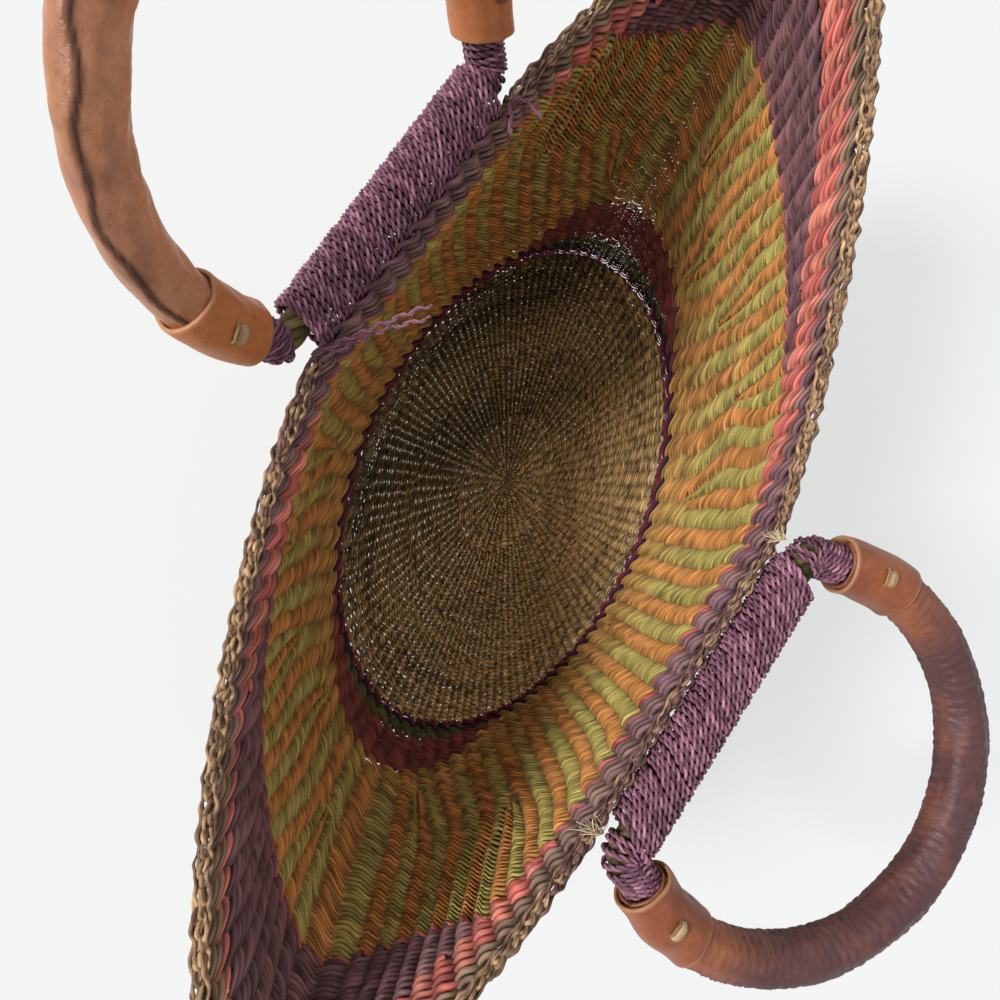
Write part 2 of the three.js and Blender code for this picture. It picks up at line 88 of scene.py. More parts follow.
class BasketSizes(PropertyGroup):
    """Driving sizes of the woven body."""

    floor_half_length: size("Floor half length", "Half of the floor's oval, the long way", 0.190)
    floor_half_width: size("Floor half width", "Half of the floor's oval, the short way", 0.111)
    floor_shift: size("Floor shift", "How far the floor lies off the middle of the rim, along X", 0.012)
    floor_turn: angle("Floor turn", "Angle of the floor's long axis from X", 0.21)
    floor_edge_rise: size("Floor edge rise", "Height of the weave's middle at the floor's edge", 0.014)
    floor_flat_share: share("Floor flat share", "Share of the floor that lies flat", 0.86)
    bar_foot_angle: angle("Bar foot angle", "Place on the oval below the middle of a bar", 1.16)
    weave_thickness: size("Weave thickness", "Thickness of the twined wall", 0.005)
    wall_height: size("Wall height", "Height of the rim beside the handles", 0.228)
    rim_half_width: size("Rim half width", "From the middle to the rim beside a handle", 0.114)
    tip_reach: size("Tip reach", "From the middle to a tip of the rim, along X", 0.281)
    tip_offset: size("Tip offset", "Sideways place of a tip", 0.052)
    tip_rise: size("Tip rise", "Height of a tip above the wall's height", 0.065)
    tip_turn: angle("Tip turn", "Slant of the rim at a tip", 0.55)
    tip_long_pull: size("Tip long pull", "Roundness of a tip on its long side", 0.036)
    tip_short_pull: size("Tip short pull", "Roundness of a tip on its short side", 0.034)
    corner_turn: angle("Corner turn", "Slant of the rim where it leaves a bar for the long side", 0.22)
    corner_pull: size("Corner pull", "Roundness of the long side", 0.127)
    bar_end_pull: size("Bar end pull", "Roundness of the short side", 0.034)
    wall_bulge: size("Wall bulge", "How far the wall swells outward", 0.013)
    bulge_power: share("Bulge power", "Below one moves the swell down the wall", 0.8)
    rim_flare: size("Rim flare", "How far the wall is drawn in below its flaring rim", 0.007)
    flare_power: share("Flare power", "Higher keeps the flare nearer the rim", 6.0)
    foot_spread: share("Foot spread", "How much closer the ribs stand on the floor's ends", 0.2)
    magenta_width: size("Magenta width", "Width of the magenta rows", 0.004)
    navy_width: size("Navy width", "Width of the navy rows", 0.004)
    green_width: size("Green width", "Width of the green crescents at the tips", 0.011)
    maroon_width: size("Maroon width", "Width of the maroon crescents at the tips", 0.034)
    plum_width: size("Plum width", "Width of the plum crescents at the tips", 0.062)
    salmon_width: size("Salmon width", "Width of the salmon crescents at the tips", 0.024)
    top_width: size("Top width", "Width of the thick rows under the plait", 0.013)
    plait_height: size("Plait height", "Height of the plaited rim", 0.008)
    plait_width: size("Plait width", "Width of the plaited rim", 0.008)
    plait_gap: size("Plait gap", "Gap between the wall and its plait", 0.0006)


class StrandSizes(PropertyGroup):
    """Sizes of the straw itself."""

    fine_pitch: size("Fine pitch", "Distance between the fine rows", 0.0023)
    thick_pitch: size("Thick pitch", "Distance between the thick rows", 0.0037)
    striped_rows: count("Striped rows", "Rows in the striped band", 48)
    floor_rows: count("Floor rows", "Rows from the floor's centre to its edge", 60)
    floor_slant: share("Floor slant", "Rise of a floor strand over a rib, in pitches", 0.25)
    swing: size("Swing", "How far a strand swings round a rib", 0.0018)
    slant: share("Slant", "Rise of a fine strand over a rib, in pitches", 1.25)
    thick_slant: share("Thick slant", "Rise of a thick strand over a rib, in pitches", 0.75)
    rib_radius: size("Rib radius", "Radius of a rib", 0.0011)
    link_length: size("Link length", "Length of a link of the plait", 0.0107)


class HandleSizes(PropertyGroup):
    """Driving sizes of a ring handle and its lashing."""

    lashing_length: size("Lashing length", "Wound length of a bar", 0.150)
    bar_bare_length: size("Bar bare length", "Bar left bare at each end", 0.005)
    bar_shift: size("Bar shift", "How far the bars stand off the middle, along X", 0.052)
    axis_side: size("Axis side", "From the middle to a handle's axis", 0.131363)
    loop_swell: size("Loop swell", "How far the loop swells past the bar's end", 0.018)
    rope_radius: size("Rope radius", "Radius of the straw rope", 0.0076)
    cover_radius: size("Cover radius", "Outside radius of the leather tube", 0.0127)
    collar_radius: size("Collar radius", "Outside radius of the leather collars", 0.0147)
    collar_length: size("Collar length", "Width of a collar", 0.038)
    collar_leg_gap: size("Collar leg gap", "From a leg's end to its collar", 0.003)
    leg_angle: angle("Leg angle", "How far the arc reaches below the loop's centre", 0.44)
    bend_pull: size("Bend pull", "Roundness of the rope's bend at a bar's end", 0.009)
    bar_lead: size("Bar lead", "Straight rope past the lashing before it bends", 0.0042)
    elbow_tuck: size("Elbow tuck", "How far the cord on a bend runs under its collar", 0.001)
    left_splay: angle("Left splay", "Outward lean of the left handle", 0.5)
    right_splay: angle("Right splay", "Outward lean of the right handle", 1.75)
    lashing_turns: count("Lashing turns", "Turns of cord on a bar", 50)
    ply_radius: size("Ply radius", "Radius of one ply of the cord", 0.0009)
    twist_length: size("Twist length", "Length in which the cord's plies come round", 0.0085)
    loose_diameter: size("Loose end diameter", "Thickness of a loose end", 0.0022)


class StrawColours(PropertyGroup):
    """Colours of the straw, each a pair that a strand changes between."""

    # The floor's pair is a painted shaded colour and a painted lit gold
    floor_dark: colour("Floor dark", "Shaded olive brown of the floor", 0x6C583A)
    floor_lit_gold: colour("Floor gold", "Golden part of the floor", 0xD6B47A)
    magenta: colour("Magenta", "Row round the floor", 0x8C2846)
    navy: colour("Navy", "Row outside the magenta one", 0x2A2238)
    green: colour("Green", "Green crescents", 0x66693A)
    maroon: colour("Maroon", "Maroon crescents", 0x9A5048)
    stripe_green: colour("Stripe green", "Green columns", 0xB3A55C)
    stripe_ochre: colour("Stripe ochre", "Orange columns", 0xCB8A4C)
    plum: colour("Plum", "Plum crescents", 0x6B4A50)
    plum_light: colour("Light plum", "Lighter plum strands", 0x93696A)
    salmon: colour("Salmon", "Salmon crescents", 0xC4625A)
    salmon_light: colour("Light salmon", "Lighter salmon strands", 0xDB9078)
    top_mauve: colour("Top mauve", "Thick rows beside the handles", 0x7A5560)
    top_tan: colour("Top tan", "Thick rows towards the tips", 0x93795F)
    plait_tan: colour("Plait tan", "Light straw of the plait", 0xB8966E)
    plait_brown: colour("Plait brown", "Dark straw of the plait", 0x6F4F4B)
    cord_mauve: colour("Cord mauve", "Lashing cord", 0x623A4B)
    cord_pink: colour("Cord pink", "Worn side of the lashing cord", 0xA47285)
    rope_tan: colour("Rope tan", "Rope inside the handles", 0xA08A54)
    rope_green: colour("Rope green", "Green straw in the rope", 0x5C5530)
    pale: colour("Pale straw", "Knots and frayed straw", 0xC9AE84)
    pale_tip: colour("Pale tip", "Ends of the pale straw", 0xE2D2B4)


class LeatherColours(PropertyGroup):
    """Colours of the leather."""

    left_tube: colour("Left tube", "Reddish brown of the left cover", 0xCB8A63)
    left_dark: colour("Left dark", "Shaded side of the left cover", 0x6E3E2C)
    right_tube: colour("Right tube", "Orange brown of the right cover beside its collars", 0xA2603F)
    right_dark: colour("Right dark", "Worn maroon grey of the right cover", 0x5A393B)
    collar: colour("Collar", "Orange brown of the collars", 0xC97A45)
    collar_dark: colour("Collar dark", "Dark patches of the collars", 0x8E4E33)
    cut_edge: colour("Cut edge", "Raw edge of the leather", 0xC99A70)
    stitch: colour("Stitch", "Brown straw of the knots", 0x7C5430)


def settings(name):
    return getattr(bpy.context.scene, f"basket_{name}")


def whole_bar(handle):
    """Length of a bar with its bare ends."""
    return handle.lashing_length + 2 * handle.bar_bare_length


def dimmed(shade, part):
    return [part * channel for channel in shade]


# Small tools for arrays

def unit(vectors):
    return vectors / np.linalg.norm(vectors, axis=-1, keepdims=True)


def mix(start, end, part):
    return start + (end - start) * part


def smooth_step(low, high, value):
    part = np.clip((value - low) / (high - low), 0, 1)
    return part * part * (3 - 2 * part)


def waves(seed, *coordinates, octaves=5):
    """Smooth uneven numbers, about -1 to 1, from one or more coordinates counted in wavelengths."""
    draw = np.random.default_rng(seed)
    total = 0
    for _ in range(octaves):
        steps = draw.normal(size=len(coordinates)) * FULL_TURN
        phase = draw.uniform(0, FULL_TURN)
        total = total + np.sin(sum(c * s for c, s in zip(coordinates, steps)) + phase)
    return total / math.sqrt(octaves)


def new_seed(draw):
    return draw.integers(1 << 30)


def cubic(points, steps):
    part = np.linspace(0, 1, steps + 1)[:, None]
    rest = 1 - part
    first, second, third, last = (np.asarray(point, float) for point in points)
    return rest**3 * first + 3 * rest**2 * part * second + 3 * rest * part**2 * third + part**3 * last


def lengths_along(points):
    steps = np.linalg.norm(np.diff(points, axis=0), axis=1)
    return np.concatenate([[0], np.cumsum(steps)])


def resampled(points, marks, places):
    """Points of a line at places counted along it."""
    return np.stack([np.interp(places, marks, points[:, axis]) for axis in range(3)], axis=-1)


def spaced(points, number):
    """The same line with its points at equal distances."""
    marks = lengths_along(points)
    return resampled(points, marks, np.linspace(0, marks[-1], number))


def through(points, steps, closed=False):
    """Smooth line through the points."""
    points = np.asarray(points, float)
    if closed:
        padded = np.vstack([points[-1:], points, points[:2]])
    else:
        padded = np.vstack([2 * points[0] - points[1], points, 2 * points[-1] - points[-2]])
    line = []
    for start in range(1, len(padded) - 2):
        before, first, second, after = padded[start - 1 : start + 3]
        pull = 1 / 6
        leave = first + (second - before) * pull
        arrive = second - (after - first) * pull
        line.append(cubic([first, leave, arrive, second], steps)[:-1])
    if not closed:
        line.append(padded[-2:-1])
    return np.vstack(line)


def frames_along(points, reference):
    """Two directions square to the line at each point, the first one as near the reference as can be."""
    ahead = unit(np.gradient(points, axis=0))
    reference = np.broadcast_to(np.asarray(reference, float), points.shape)
    first = unit(reference - np.sum(reference * ahead, axis=-1, keepdims=True) * ahead)
    return first, np.cross(ahead, first)


def turned(turn, first, second):
    """Direction at an angle between two directions, at each point of a line."""
    return np.cos(turn)[:, None] * first + np.sin(turn)[:, None] * second


def from_nearest(around, place):
    """Share of the rim past a place, or past the like place on the other half, whichever is nearer."""
    quarter = 0.25
    return (around - place + quarter) % (2 * quarter) - quarter


# Form of the woven body

def rim_outline(sizes, bar_length, bar_shift):
    """Rim from the middle of the right bar all the way round, and its length up to the first tip."""
    half_turn = np.array([-1, -1, 1])
    middle = np.array([-bar_shift, -sizes.rim_half_width, sizes.wall_height])
    corner = middle + [bar_length / 2, 0, 0]
    tip = np.array([sizes.tip_reach, sizes.tip_offset, sizes.wall_height + sizes.tip_rise])
    next_middle = middle * half_turn
    outer_end = next_middle + [bar_length / 2, 0, 0]
    tip_along = np.array([-math.sin(sizes.tip_turn), math.cos(sizes.tip_turn), 0])
    corner_along = np.array([math.cos(sizes.corner_turn), math.sin(sizes.corner_turn), 0])
    steps = 400
    long_side = [
        corner,
        corner + corner_along * sizes.corner_pull,
        tip - tip_along * sizes.tip_long_pull,
        tip,
    ]
    short_side = [
        tip,
        tip + tip_along * sizes.tip_short_pull,
        outer_end + [sizes.bar_end_pull, 0, 0],
        outer_end,
    ]
    to_tip = np.vstack([np.linspace(middle, corner, steps)[:-1], cubic(long_side, steps)])
    from_tip = np.vstack([cubic(short_side, steps)[1:], np.linspace(outer_end, next_middle, steps)[1:]])
    half = np.vstack([to_tip, from_tip])
    return np.vstack([half, (half * half_turn)[1:]]), lengths_along(to_tip)[-1]


class BasketForm:
    """Middle of the weave. around is the share round the rim from the middle of the right bar, and out is 0
    at the floor's centre, 1 at its edge and 2 at the top of the wall."""

    # Small steps round and up the weave, between which its directions are taken
    near = 0.005
    probe = 0.02
    oval_steps = 4000

    def __init__(self, sizes, handle):
        self.sizes = sizes
        bar_length = whole_bar(handle)
        self.rim_line, tip_length = rim_outline(sizes, bar_length, handle.bar_shift)
        self.rim_marks = lengths_along(self.rim_line)
        self.rim_length = self.rim_marks[-1]
        self.tip_share = tip_length / self.rim_length
        self.bar_end_share = bar_length / 2 / self.rim_length
        self.make_oval()

    def make_oval(self):
        sizes = self.sizes
        start = math.pi + sizes.bar_foot_angle
        turn = np.linspace(start, start + FULL_TURN, self.oval_steps + 1)
        x = sizes.floor_half_length * np.cos(turn)
        y = sizes.floor_half_width * np.sin(turn)
        cos, sin = math.cos(sizes.floor_turn), math.sin(sizes.floor_turn)
        self.oval = np.stack([cos * x - sin * y, sin * x + cos * y], axis=-1)
        marks = lengths_along(self.oval)
        self.oval_marks = marks / marks[-1]
        oval_tip = np.interp(FULL_TURN, turn, self.oval_marks)
        unmatched = oval_tip - self.tip_share - self.spread(self.tip_share)
        self.foot_shift = unmatched / self.shift(self.tip_share)

    def spread(self, around):
        return self.sizes.foot_spread / (2 * FULL_TURN) * np.sin(2 * FULL_TURN * around)

    def shift(self, around):
        return (1 - np.cos(2 * FULL_TURN * around)) / 2

    def rim(self, around):
        return resampled(self.rim_line, self.rim_marks, (around % 1) * self.rim_length)

    def foot(self, around):
        part = around % 1
        place = (part + self.spread(part) + self.foot_shift * self.shift(part)) % 1
        x = np.interp(place, self.oval_marks, self.oval[:, 0]) + self.sizes.floor_shift
        y = np.interp(place, self.oval_marks, self.oval[:, 1])
        return np.stack([x, y, np.full_like(x, self.sizes.floor_edge_rise)], axis=-1)

    def wall_length(self, around):
        return np.linalg.norm(self.rim(around) - self.foot(around), axis=-1)

    def flat_wall(self, around, rise):
        return mix(self.foot(around), self.rim(around), rise[..., None])

    def wall(self, around, rise):
        along = self.flat_wall(around + self.near, rise) - self.flat_wall(around - self.near, rise)
        outward = unit(np.stack([along[..., 1], -along[..., 0], 0 * along[..., 0]], axis=-1))
        inside = np.clip(rise, 0, 1)
        swell = self.sizes.wall_bulge * np.sin(math.pi * inside**self.sizes.bulge_power)
        flare = self.sizes.rim_flare * np.sin(math.pi * inside**self.sizes.flare_power)
        return self.flat_wall(around, rise) + outward * (swell - flare)[..., None]

    def floor(self, around, part):
        low = self.sizes.weave_thickness / 2
        middle = np.array([self.sizes.floor_shift, 0, low])
        point = mix(middle, self.foot(around), part[..., None])
        climb = np.clip((part - self.sizes.floor_flat_share) / (1 - self.sizes.floor_flat_share), 0, None)
        point[..., 2] = low + (self.sizes.floor_edge_rise - low) * climb**2
        return point

    def point(self, around, out):
        around, out = np.broadcast_arrays(np.asarray(around, float), np.asarray(out, float))
        on_wall = self.wall(around, np.clip(out - 1, 0, None))
        on_floor = self.floor(around, np.clip(out, None, 1))
        return np.where((out > 1)[..., None], on_wall, on_floor)

    def frame_at(self, around, out):
        """Point, outward direction and upward direction along the weave."""
        around, out = np.broadcast_arrays(np.asarray(around, float), np.asarray(out, float))
        along = self.point(around + self.near, out) - self.point(around - self.near, out)
        high = np.maximum(out, np.minimum(2, out + self.probe))
        low = np.maximum(self.probe / 4, out - self.probe)
        upward = unit(self.point(around, high) - self.point(around, low))
        return self.point(around, out), unit(np.cross(along, upward)), upward

    def from_foot(self, around, width):
        return 1 + width / self.wall_length(around)

    def from_top(self, around, width):
        return 2 - width / self.wall_length(around)

    def crescent(self, around, width, reach, power=1.0):
        """Width of a crescent, full at the tip and nothing at the end of its reach. A power below one keeps
        it wide for longer."""
        past = from_nearest(around, self.tip_share)
        limit = np.where(past < 0, reach[0], reach[1])
        part = np.abs(past) * self.rim_length / limit
        profile = np.clip(np.cos(math.pi / 2 * np.minimum(part, 1)), 0, 1) ** power
        return np.where(part < 1, width * profile, 0)


# How far each crescent reaches from its tip, on the rim's long side and on its short side
GREEN_REACH = (0.150, 0.100)
MAROON_REACH = (0.190, 0.125)
PLUM_REACH = (0.240, 0.105)
SALMON_REACH = (0.300, 0.130)
# On the long side past the left bar plum takes this share of the salmon rows, on a stretch of the rim that
# begins at the first place, is full from the second to the third and ends at the fourth
SALMON_LOSS_SHARE = 0.75
FAR_STRETCH = (0.63, 0.69, 0.78, 0.84)
# The top rows lose this share of their width away from the bars
TOP_LOSS_SHARE = 0.5


# Ribs

class Ribs:
    """Places of the ribs. Each half of the rim has four stretches: beside the right bar, the long side up to
    the tip, the short side, and beside the left bar. Pairs of ribs are added up the long and short sides."""

    rim_counts = (7, 26, 14, 7)
    pair_counts = (0, 5, 2, 0)
    # Pairs start at different heights up the wall, and their ribs are full after a further grow_height
    first_start = 0.1
    start_range = 0.35
    start_shift = 0.2
    grow_height = 0.35
    least_weight = 0.12
    foot_evenness = 0.35

    def __init__(self, form):
        self.form = form
        starts = []
        for ribs, pairs in zip(self.rim_counts, self.pair_counts):
            stretch = [None] * ribs
            for pair in range(pairs):
                first = int((pair + 0.5) * ribs / pairs - 1)
                spread = (pair * GOLDEN_SHARE + self.start_shift) % 1
                stretch[first] = stretch[first + 1] = self.first_start + self.start_range * spread
            starts += stretch
        self.starts = np.array([-1 if start is None else start for start in starts * 2])
        self.total = len(self.starts)
        half = sum(self.rim_counts)
        feet = [ribs - 2 * pairs for ribs, pairs in zip(self.rim_counts, self.pair_counts)]
        self.feet_total = 2 * sum(feet)
        at_rim = np.concatenate([[0], np.cumsum(self.rim_counts)]) / (2 * half)
        at_foot = np.concatenate([[0], np.cumsum(feet)]) / self.feet_total
        at_foot = mix(at_rim, at_foot, self.foot_evenness)
        self.rim_bounds = np.concatenate([at_rim, at_rim[1:] + 0.5])
        self.foot_bounds = np.concatenate([at_foot, at_foot[1:] + 0.5])
        self.stretches = np.repeat(np.arange(2 * len(self.rim_counts)), self.rim_counts * 2)
        self.rim_shares = (np.arange(self.total) + 0.5) / self.total

    def weights(self, rise):
        grown = smooth_step(self.starts, self.starts + self.grow_height, rise)
        return np.where(self.starts < 0, 1, grown)

    def places(self, rise):
        """Place of every rib round the basket where its height up the wall is rise, and its weight."""
        weights = self.weights(rise)
        totals = np.bincount(self.stretches, weights)
        before = np.concatenate([[0], np.cumsum(totals)])[self.stretches]
        part = (np.cumsum(weights) - weights / 2 - before) / totals[self.stretches]
        low = mix(self.foot_bounds, self.rim_bounds, np.mean(rise))
        return mix(low[self.stretches], low[self.stretches + 1], part), weights

    def on_row(self, out_at):
        """Places of the ribs that a row passes."""
        rise = np.clip(out_at(self.rim_shares) - 1, 0, 1)
        places, _ = self.places(rise)
        rise = np.clip(out_at(places) - 1, 0, 1)
        places, weights = self.places(rise)
        return places[weights > self.least_weight]

    def at_foot(self, rib):
        """Place round the floor of a rib counted from 0 to the number of feet, also between two."""
        places, weights = self.places(np.zeros(self.total))
        feet = places[weights > self.least_weight]
        around = np.concatenate([feet[-1:] - 1, feet, feet[:1] + 1, feet[1:2] + 1])
        return np.interp(rib, np.arange(-1, len(feet) + 2) + 0.5, around)


# Meshes made of tubes

def angles_round(sides):
    return np.arange(sides) / sides * FULL_TURN


def rings_along(centres, first, second, first_radius, second_radius, sides):
    turn = angles_round(sides)
    cos = np.cos(turn)[None, :, None]
    sin = np.sin(turn)[None, :, None]
    across = np.reshape(first_radius, (-1, 1, 1)) * cos * first[:, None, :]
    through_it = np.reshape(second_radius, (-1, 1, 1)) * sin * second[:, None, :]
    return centres[:, None, :] + across + through_it


class Skin:
    """Collects tubes for one mesh. A tube is a run of rings, and each point has a fade between the
    material's two colours, a tone, and a place along and round its fibre."""

    # Most rings in one strip of the UV map, and the strip's bare edge
    strip = 420
    margin = 0.04
    fibre_shift = 0.0137

    def __init__(self):
        self.points = []
        self.faces = []
        self.uvs = []
        self.strips = []
        self.fades = []
        self.tones = []
        self.fibres = []
        self.size = 0
        self.strip_total = 0
        self.tubes = 0

    def add(self, rings, fade=0.0, tone=0.5, closed=False):
        number, sides, _ = rings.shape
        spans = number if closed else number - 1
        ring = np.arange(spans)[:, None]
        side = np.arange(sides)[None, :]
        after = (ring + 1) % number
        turn = (side + 1) % sides
        corners = [ring * sides + side, ring * sides + turn, after * sides + turn, after * sides + side]
        faces = np.stack([np.broadcast_to(c, (spans, sides)) for c in corners], axis=-1).reshape(-1, 4)
        self.faces.append(faces + self.size)
        column = ring % self.strip
        strip = self.strip_total + ring // self.strip
        low = self.margin + (1 - 2 * self.margin) * side / sides
        high = self.margin + (1 - 2 * self.margin) * (side + 1) / sides
        left = column / self.strip
        right = (column + 1) / self.strip
        u = np.stack([np.broadcast_to(c, (spans, sides)) for c in (left, left, right, right)], axis=-1)
        v = np.stack([np.broadcast_to(strip + c, (spans, sides)) for c in (low, high, high, low)], axis=-1)
        self.uvs.append(np.stack([u, v], axis=-1).reshape(-1, 2))
        self.strip_total += -(-spans // self.strip)
        self.points.append(rings.reshape(-1, 3))
        shape = (number, sides)
        self.fades.append(self.spread_out(fade, shape))
        self.tones.append(self.spread_out(tone, shape))
        middle = rings.mean(axis=1)
        along = np.broadcast_to(lengths_along(middle)[:, None], shape)
        angle_round = np.broadcast_to(angles_round(sides), shape)
        radius = np.linalg.norm(rings - middle[:, None, :], axis=-1)
        shift = self.tubes * self.fibre_shift
        fibre = [along + shift, radius * np.cos(angle_round) + shift, radius * np.sin(angle_round)]
        self.fibres.append(np.stack(fibre, axis=-1).reshape(-1, 3))
        self.size += number * sides
        self.tubes += 1

    @staticmethod
    def spread_out(value, shape):
        value = np.asarray(value, float)
        if value.ndim == 1:
            value = value[:, None]
        return np.broadcast_to(value, shape).reshape(-1)

    def build(self, name):
        points = np.concatenate(self.points).astype(np.float32)
        faces = np.concatenate(self.faces).astype(np.int32)
        mesh = bpy.data.meshes.new(name)
        mesh.vertices.add(len(points))
        mesh.vertices.foreach_set("co", points.ravel())
        mesh.loops.add(faces.size)
        mesh.loops.foreach_set("vertex_index", faces.ravel())
        mesh.polygons.add(len(faces))
        mesh.polygons.foreach_set("loop_start", np.arange(0, faces.size, 4, dtype=np.int32))
        mesh.update(calc_edges=True)
        mesh.shade_smooth()
        uv = np.concatenate(self.uvs).astype(np.float32)
        uv[:, 1] /= self.strip_total
        mesh.uv_layers.new(name="OFBake").uv.foreach_set("vector", uv.ravel())
        for label, values in (("fade", self.fades), ("tone", self.tones)):
            data = mesh.attributes.new(label, "FLOAT", "POINT").data
            data.foreach_set("value", np.concatenate(values).astype(np.float32))
        data = mesh.attributes.new("fibre", "FLOAT_VECTOR", "POINT").data
        data.foreach_set("vector", np.concatenate(self.fibres).astype(np.float32).ravel())
        piece = bpy.data.objects.new(name, mesh)
        bpy.context.scene.collection.objects.link(piece)
        return piece


def place(piece, material, body, slot, *nodes):
    piece.data.materials.append(material)
    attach(piece, body)
    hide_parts(*nodes)
    return piece


# Materials

class Shading:
    """A Principled material that is put together node by node."""

    def __init__(self, name, roughness, specular=0.35):
        self.material = bpy.data.materials.new(name)
        self.material.use_nodes = True
        self.nodes = self.material.node_tree.nodes
        self.links = self.material.node_tree.links
        self.surface = self.nodes["Principled BSDF"]
        self.surface.inputs["Roughness"].default_value = roughness
        self.surface.inputs["Specular IOR Level"].default_value = specular

    def link(self, source, target):
        self.links.new(source, target)

    def attribute(self, name, output="Fac"):
        node = self.nodes.new("ShaderNodeAttribute")
        node.attribute_name = name
        return node.outputs[output]

    def value_of(self, socket, value):
        if isinstance(value, bpy.types.NodeSocket):
            self.link(value, socket)
        else:
            socket.default_value = value

    def sum_up(self, operation, *values):
        node = self.nodes.new("ShaderNodeMath")
        node.operation = operation
        for socket, value in zip(node.inputs, values):
            self.value_of(socket, value)
        return node.outputs[0]

    def scaled(self, vector, scale):
        node = self.nodes.new("ShaderNodeVectorMath")
        node.operation = "MULTIPLY"
        self.link(vector, node.inputs[0])
        node.inputs[1].default_value = scale
        return node.outputs[0]

    def noise(self, vector, scale, detail=3.0, roughness=0.55):
        node = self.nodes.new("ShaderNodeTexNoise")
        self.link(vector, node.inputs["Vector"])
        node.inputs["Scale"].default_value = scale
        node.inputs["Detail"].default_value = detail
        node.inputs["Roughness"].default_value = roughness
        return node.outputs["Fac"]

    def ranged(self, value, low, high, new_low, new_high):
        node = self.nodes.new("ShaderNodeMapRange")
        self.value_of(node.inputs["Value"], value)
        for key, number in (("From Min", low), ("From Max", high), ("To Min", new_low), ("To Max", new_high)):
            node.inputs[key].default_value = number
        return node.outputs["Result"]

    def varied(self, noise, new_low, new_high, reach=0.2):
        """Spreads the middle part of a noise over a new range."""
        return self.ranged(noise, 0.5 - reach, 0.5 + reach, new_low, new_high)

    def blend(self, part, first, second):
        node = self.nodes.new("ShaderNodeMix")
        node.data_type = "RGBA"
        factor, start, end = node.inputs[0], node.inputs[6], node.inputs[7]
        self.value_of(factor, part)
        for socket, shade in ((start, first), (end, second)):
            self.value_of(socket, shade if isinstance(shade, bpy.types.NodeSocket) else (*shade, 1))
        return node.outputs[2]

    def brighter(self, shade, value):
        node = self.nodes.new("ShaderNodeHueSaturation")
        self.link(shade, node.inputs["Color"])
        self.value_of(node.inputs["Value"], value)
        return node.outputs["Color"]

    def bump(self, height, distance, strength=1.0, normal=None):
        node = self.nodes.new("ShaderNodeBump")
        node.inputs["Distance"].default_value = distance
        node.inputs["Strength"].default_value = strength
        self.link(height, node.inputs["Height"])
        if normal is not None:
            self.link(normal, node.inputs["Normal"])
        return node.outputs["Normal"]

    def finish(self, shade, normal):
        self.link(shade, self.surface.inputs["Base Color"])
        self.link(normal, self.surface.inputs["Normal"])
        return self.material


# Fibres in a metre along a strand, and across it both ways
FINE_FIBRES = (70, 2600, 2600)
COARSE_FIBRES = (22, 500, 500)
FIBRE_DEPTH = 0.2 * MILLIMETRE
FIBRE_STRENGTH = 0.7


def straw_material(name, first, second, roughness=0.58, contrast=0.6, streak=0.3, drift=0.12):
    """Straw whose colour changes between two along its strands, with fine fibres along them."""
    shading = Shading(name, roughness)
    fibre = shading.attribute("fibre", "Vector")
    fine = shading.noise(shading.scaled(fibre, FINE_FIBRES), 1.0)
    coarse = shading.noise(shading.scaled(fibre, COARSE_FIBRES), 1.0, detail=1.0)
    fade = shading.sum_up("ADD", shading.attribute("fade"), shading.varied(coarse, -drift, drift))
    shade = shading.blend(fade, first, second)
    # The tone attribute carries painted light and shade as well as random tone; contrast sets how far it
    # lightens and darkens
    tone = shading.ranged(shading.attribute("tone"), 0, 1, 1 - contrast, 1 + contrast)
    streaks = shading.varied(fine, 1 - streak, 1 + streak)
    patches = shading.varied(coarse, 1 - drift, 1 + drift)
    value = shading.sum_up("MULTIPLY", shading.sum_up("MULTIPLY", tone, streaks), patches)
    shade = shading.brighter(shade, value)
    gloss = shading.varied(fine, roughness - 0.1, roughness + 0.12)
    shading.link(gloss, shading.surface.inputs["Roughness"])
    return shading.finish(shade, shading.bump(fine, FIBRE_DEPTH, FIBRE_STRENGTH))


# Twined rows

